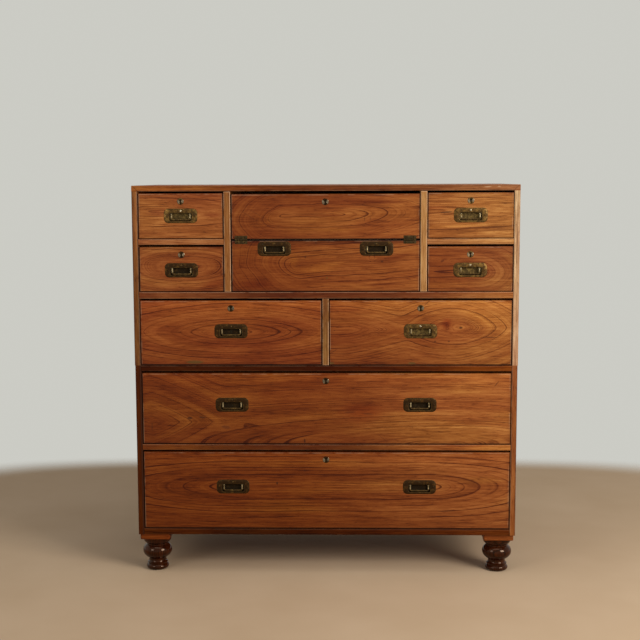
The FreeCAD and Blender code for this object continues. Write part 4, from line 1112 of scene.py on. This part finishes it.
# Case boards, rails and partitions, in the same terms. The dark marks along the sides' front edges
# are painted shade of the gaps and grooves beside the drawers, with some grime; the right sides'
# bright face tints, and the tints that rise from left to right on the partitions, rails and foot
# blocks, are painted light from the lamp at the right, partly also the wood's own tone.
BOARDS = {
    "upper_side_left": dict(
        axes=UPRIGHT_SIDE, figures=[(0.7, 0.8, 0.05, 0.15, 0.2)], bead=0.5, face=(0.70, 0.94, 1.3),
        zones=[(-0.5075, 1.02, 0.011, 0.34, 0, (2.0, 2.2, 2.5))],
        marks=[(-0.5038, 0.8, 0.0016, 3.0, 0, 0.6), (-0.5182, 0.8, 0.0014, 3.0, 0, 0.7)]),
    "upper_side_right": dict(
        axes=UPRIGHT_SIDE, figures=[(0.85, 0.95, -0.04, 0.2, 0.15)],
        face=((2.0, 4.0, 9.0), (2.3, 5.3, 17.0)), bead=0.6,
        marks=[(0.5034, 0.8, 0.0010, 3.0, 0, 0.15), (0.5125, 0.8, 0.0009, 3.0, 0, 0.35)]),
    "lower_side_left": dict(
        axes=UPRIGHT_SIDE, figures=[(0.3, 0.35, 0.02, 0.2, 0.15)], face=(0.26, 0.17, 0.06),
        bead=0.1, gloss=0.06,
        marks=[(-0.5035, 0.3, 0.0034, 3.0, 0, 0.95), (-0.5172, 0.3, 0.0012, 3.0, 0, 0.6)]),
    "lower_side_right": dict(
        axes=UPRIGHT_SIDE, figures=[(0.35, 0.4, -0.06, 0.15, 0.2)], face=(1.1, 1.3, 1.8), bead=0.4,
        marks=[(0.5026, 0.3, 0.0014, 3.0, 0, 0.2), (0.5172, 0.3, 0.0012, 3.0, 0, 0.5)]),
    "upper_top_board": dict(
        axes=ACROSS_TOP, figures=[(0.1, 0.15, 0.02, 0.12, 0.16)], face=(0.83, 0.93, 1.3), bead=0.3,
        tint=(0.93, 0.66, 0.38), far_tint=(1.0, 1.0, 1.0),
        along=[(-0.42, (1.62, 2.25, 2.7)), (-0.24, (0.90, 0.92, 0.86)), (-0.08, (0.70, 0.62, 0.67)),
               (0.10, (0.69, 0.60, 0.62)), (0.265, (0.88, 0.85, 0.90)), (0.43, (1.30, 1.50, 2.1))],
        marks=[(0.432, 1.059, 0.012, 0.0012, 0, 0.8, RUB_AND_HIGHLIGHT),
               (0.462, 1.060, 0.006, 0.0014, 0, 0.8, RUB_AND_HIGHLIGHT),
               (0.508, 1.0565, 0.014, 0.0008, 45, 0.7),
               (-0.508, 1.0565, 0.014, 0.0008, -45, 0.7),
               (0.0, 1.0612, 3.0, 0.0010, 0, 0.55)]),
    "upper_partitions": dict(
        axes=UPRIGHT_FRONT, figures=[(0.6, 0.9, 0.62, 0.0, 0.0)], tint=(1.0, 1.3, 2.0),
        far_tint=(1.5, 2.5, 5.0), contrast=0.6, gold=0.8, tint_span=(0, -0.2, 0.2), bead=0.8,
        zones=[(0.0, 0.68, 0.03, 0.2, 0, (0.70, 0.70, 0.60))]),
    "upper_dividers": dict(
        axes=ACROSS_FRONT, figures=[(0.0, 0.1, 0.4, 0.0, 0.0)], tint=(0.95, 1.0, 1.5),
        far_tint=(1.25, 1.5, 2.0), tint_span=(0, 0.25, 0.50), bead=0.3,
        zones=[(-0.03, 0.773, 0.62, 0.07, 0, (0.46, 0.32, 0.25)),
               (-0.36, 0.914, 0.5, 0.014, 0, (1.55, 1.95, 2.5)),
               (0.36, 0.914, 0.5, 0.014, 0, (1.4, 1.8, 2.4))]),
    "lower_top_board": dict(
        axes=ACROSS_FRONT, figures=[(0.0, 0.1, 0.2, 0.0, 0.0)], face=(0.30, 0.18, 0.06), bead=0.10,
        gloss=0.06,
        along=[(-0.41, (0.69, 0.76, 0.80)), (-0.08, (0.57, 0.54, 0.44)), (0.10, (0.82, 0.86, 0.68)),
               (0.265, (1.26, 1.63, 1.60)), (0.43, (2.6, 4.2, 6.0))]),
    "lower_divider": dict(
        axes=ACROSS_FRONT, figures=[(0.0, 0.1, 0.1, 0.0, 0.0)], tint=(0.62, 0.52, 0.35),
        far_tint=(0.95, 0.95, 1.0), bead=0.15,
        along=[(-0.44, (1.15, 1.35, 1.50)), (-0.20, (0.62, 0.58, 0.55)), (0.05, (0.58, 0.54, 0.55)),
               (0.30, (1.10, 1.20, 1.40)), (0.44, (1.65, 2.10, 2.30))]),
    "lower_bottom_board": dict(
        axes=ACROSS_FRONT, figures=[(0.0, 0.1, -0.2, 0.0, 0.0)], face=(0.21, 0.155, 0.09),
        bead=0.04, gloss=0.06,
        along=[(-0.41, (1.67, 1.95, 1.47)), (-0.24, (0.90, 0.95, 0.94)),
               (-0.08, (0.88, 0.75, 0.56)), (0.10, (1.25, 1.23, 0.91)), (0.265, (1.70, 1.95, 1.70)),
               (0.44, (2.5, 3.3, 3.8))]),
    "upper_bottom_board": dict(axes=ACROSS_TOP, figures=[(0.2, 0.25, 0.1, 0.1, 0.1)]),
    "foot_blocks": dict(
        axes=ACROSS_FRONT, figures=[(0.0, 0.1, 0.0, 0.0, 0.0)], tint=(0.68, 0.52, 0.44),
        far_tint=(1.08, 1.25, 1.5), rough=0.3, gloss=0.10),
}


def paint_cases():
    """Each board, with a seed of its own."""
    for number, (node, look) in enumerate(BOARDS.items()):
        paint(node, wood(node + "_wood", seed=11.0 + number, **look))


def paint_insides():
    """Backs, drawer bodies and the letter rack: plain paler wood, hardly polished."""
    for node in ("upper_back", "lower_back"):
        paint(node, wood(node + "_wood", ACROSS_FRONT, [(0.1, 0.2, 0.5, 0.1, 0.1)], PALE,
                         (0.8, 0.72, 0.62), seed=23.0, rough=0.62, ring=0.012))
    box_wood = wood("drawer_box_wood", INWARD_SIDE, [(0.0, 0.1, 0.2, 0.0, 0.0)], PALE, seed=24.0,
                    rough=0.6, ring=0.011)
    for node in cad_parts:
        if node.endswith("_box"):
            paint(node, box_wood)
    paint("pigeonholes", wood("pigeonhole_wood", INWARD_SIDE, [(0.0, 0.1, 0.9, 0.0, 0.0)],
                              seed=25.0, tint=(1.1, 1.15, 1.1)))
    paint("writing_board", wood("writing_board_wood", ACROSS_TOP, [(0.0, 0.1, 0.0, 0.1, 0.1)],
                                seed=26.0))
    paint("locating_pegs", wood("peg_wood", UPRIGHT_FRONT, [(0.6, 0.7, 0.2, 0.0, 0.0)], DARK,
                                seed=27.0))
    paint("fall_leather", LEATHER)


FOOT_WOOD = wood("foot_wood", UPRIGHT_FRONT, [(0.05, 0.06, 0.46, 0.3, 0.3)], DARK, seed=28.0,
                 rough=0.05, gloss=0.28, bump=0.05, sheen=(1.0, 0.70, 0.50),
                 tint=(0.62, 0.55, 0.55))

make_floor()
make_light()
for front, front_look in FRONTS.items():
    paint_front(front, **front_look)
paint_cases()
paint_insides()
for bail_node in BAILS:
    make_bail(bail_node)
for drawer_name in ORDINARY_DRAWERS:
    make_drawer_brass(drawer_name)
make_secretaire_brass()
make_fall_brass()
make_feet()

bpy.context.scene.view_settings.view_transform = "Standard"
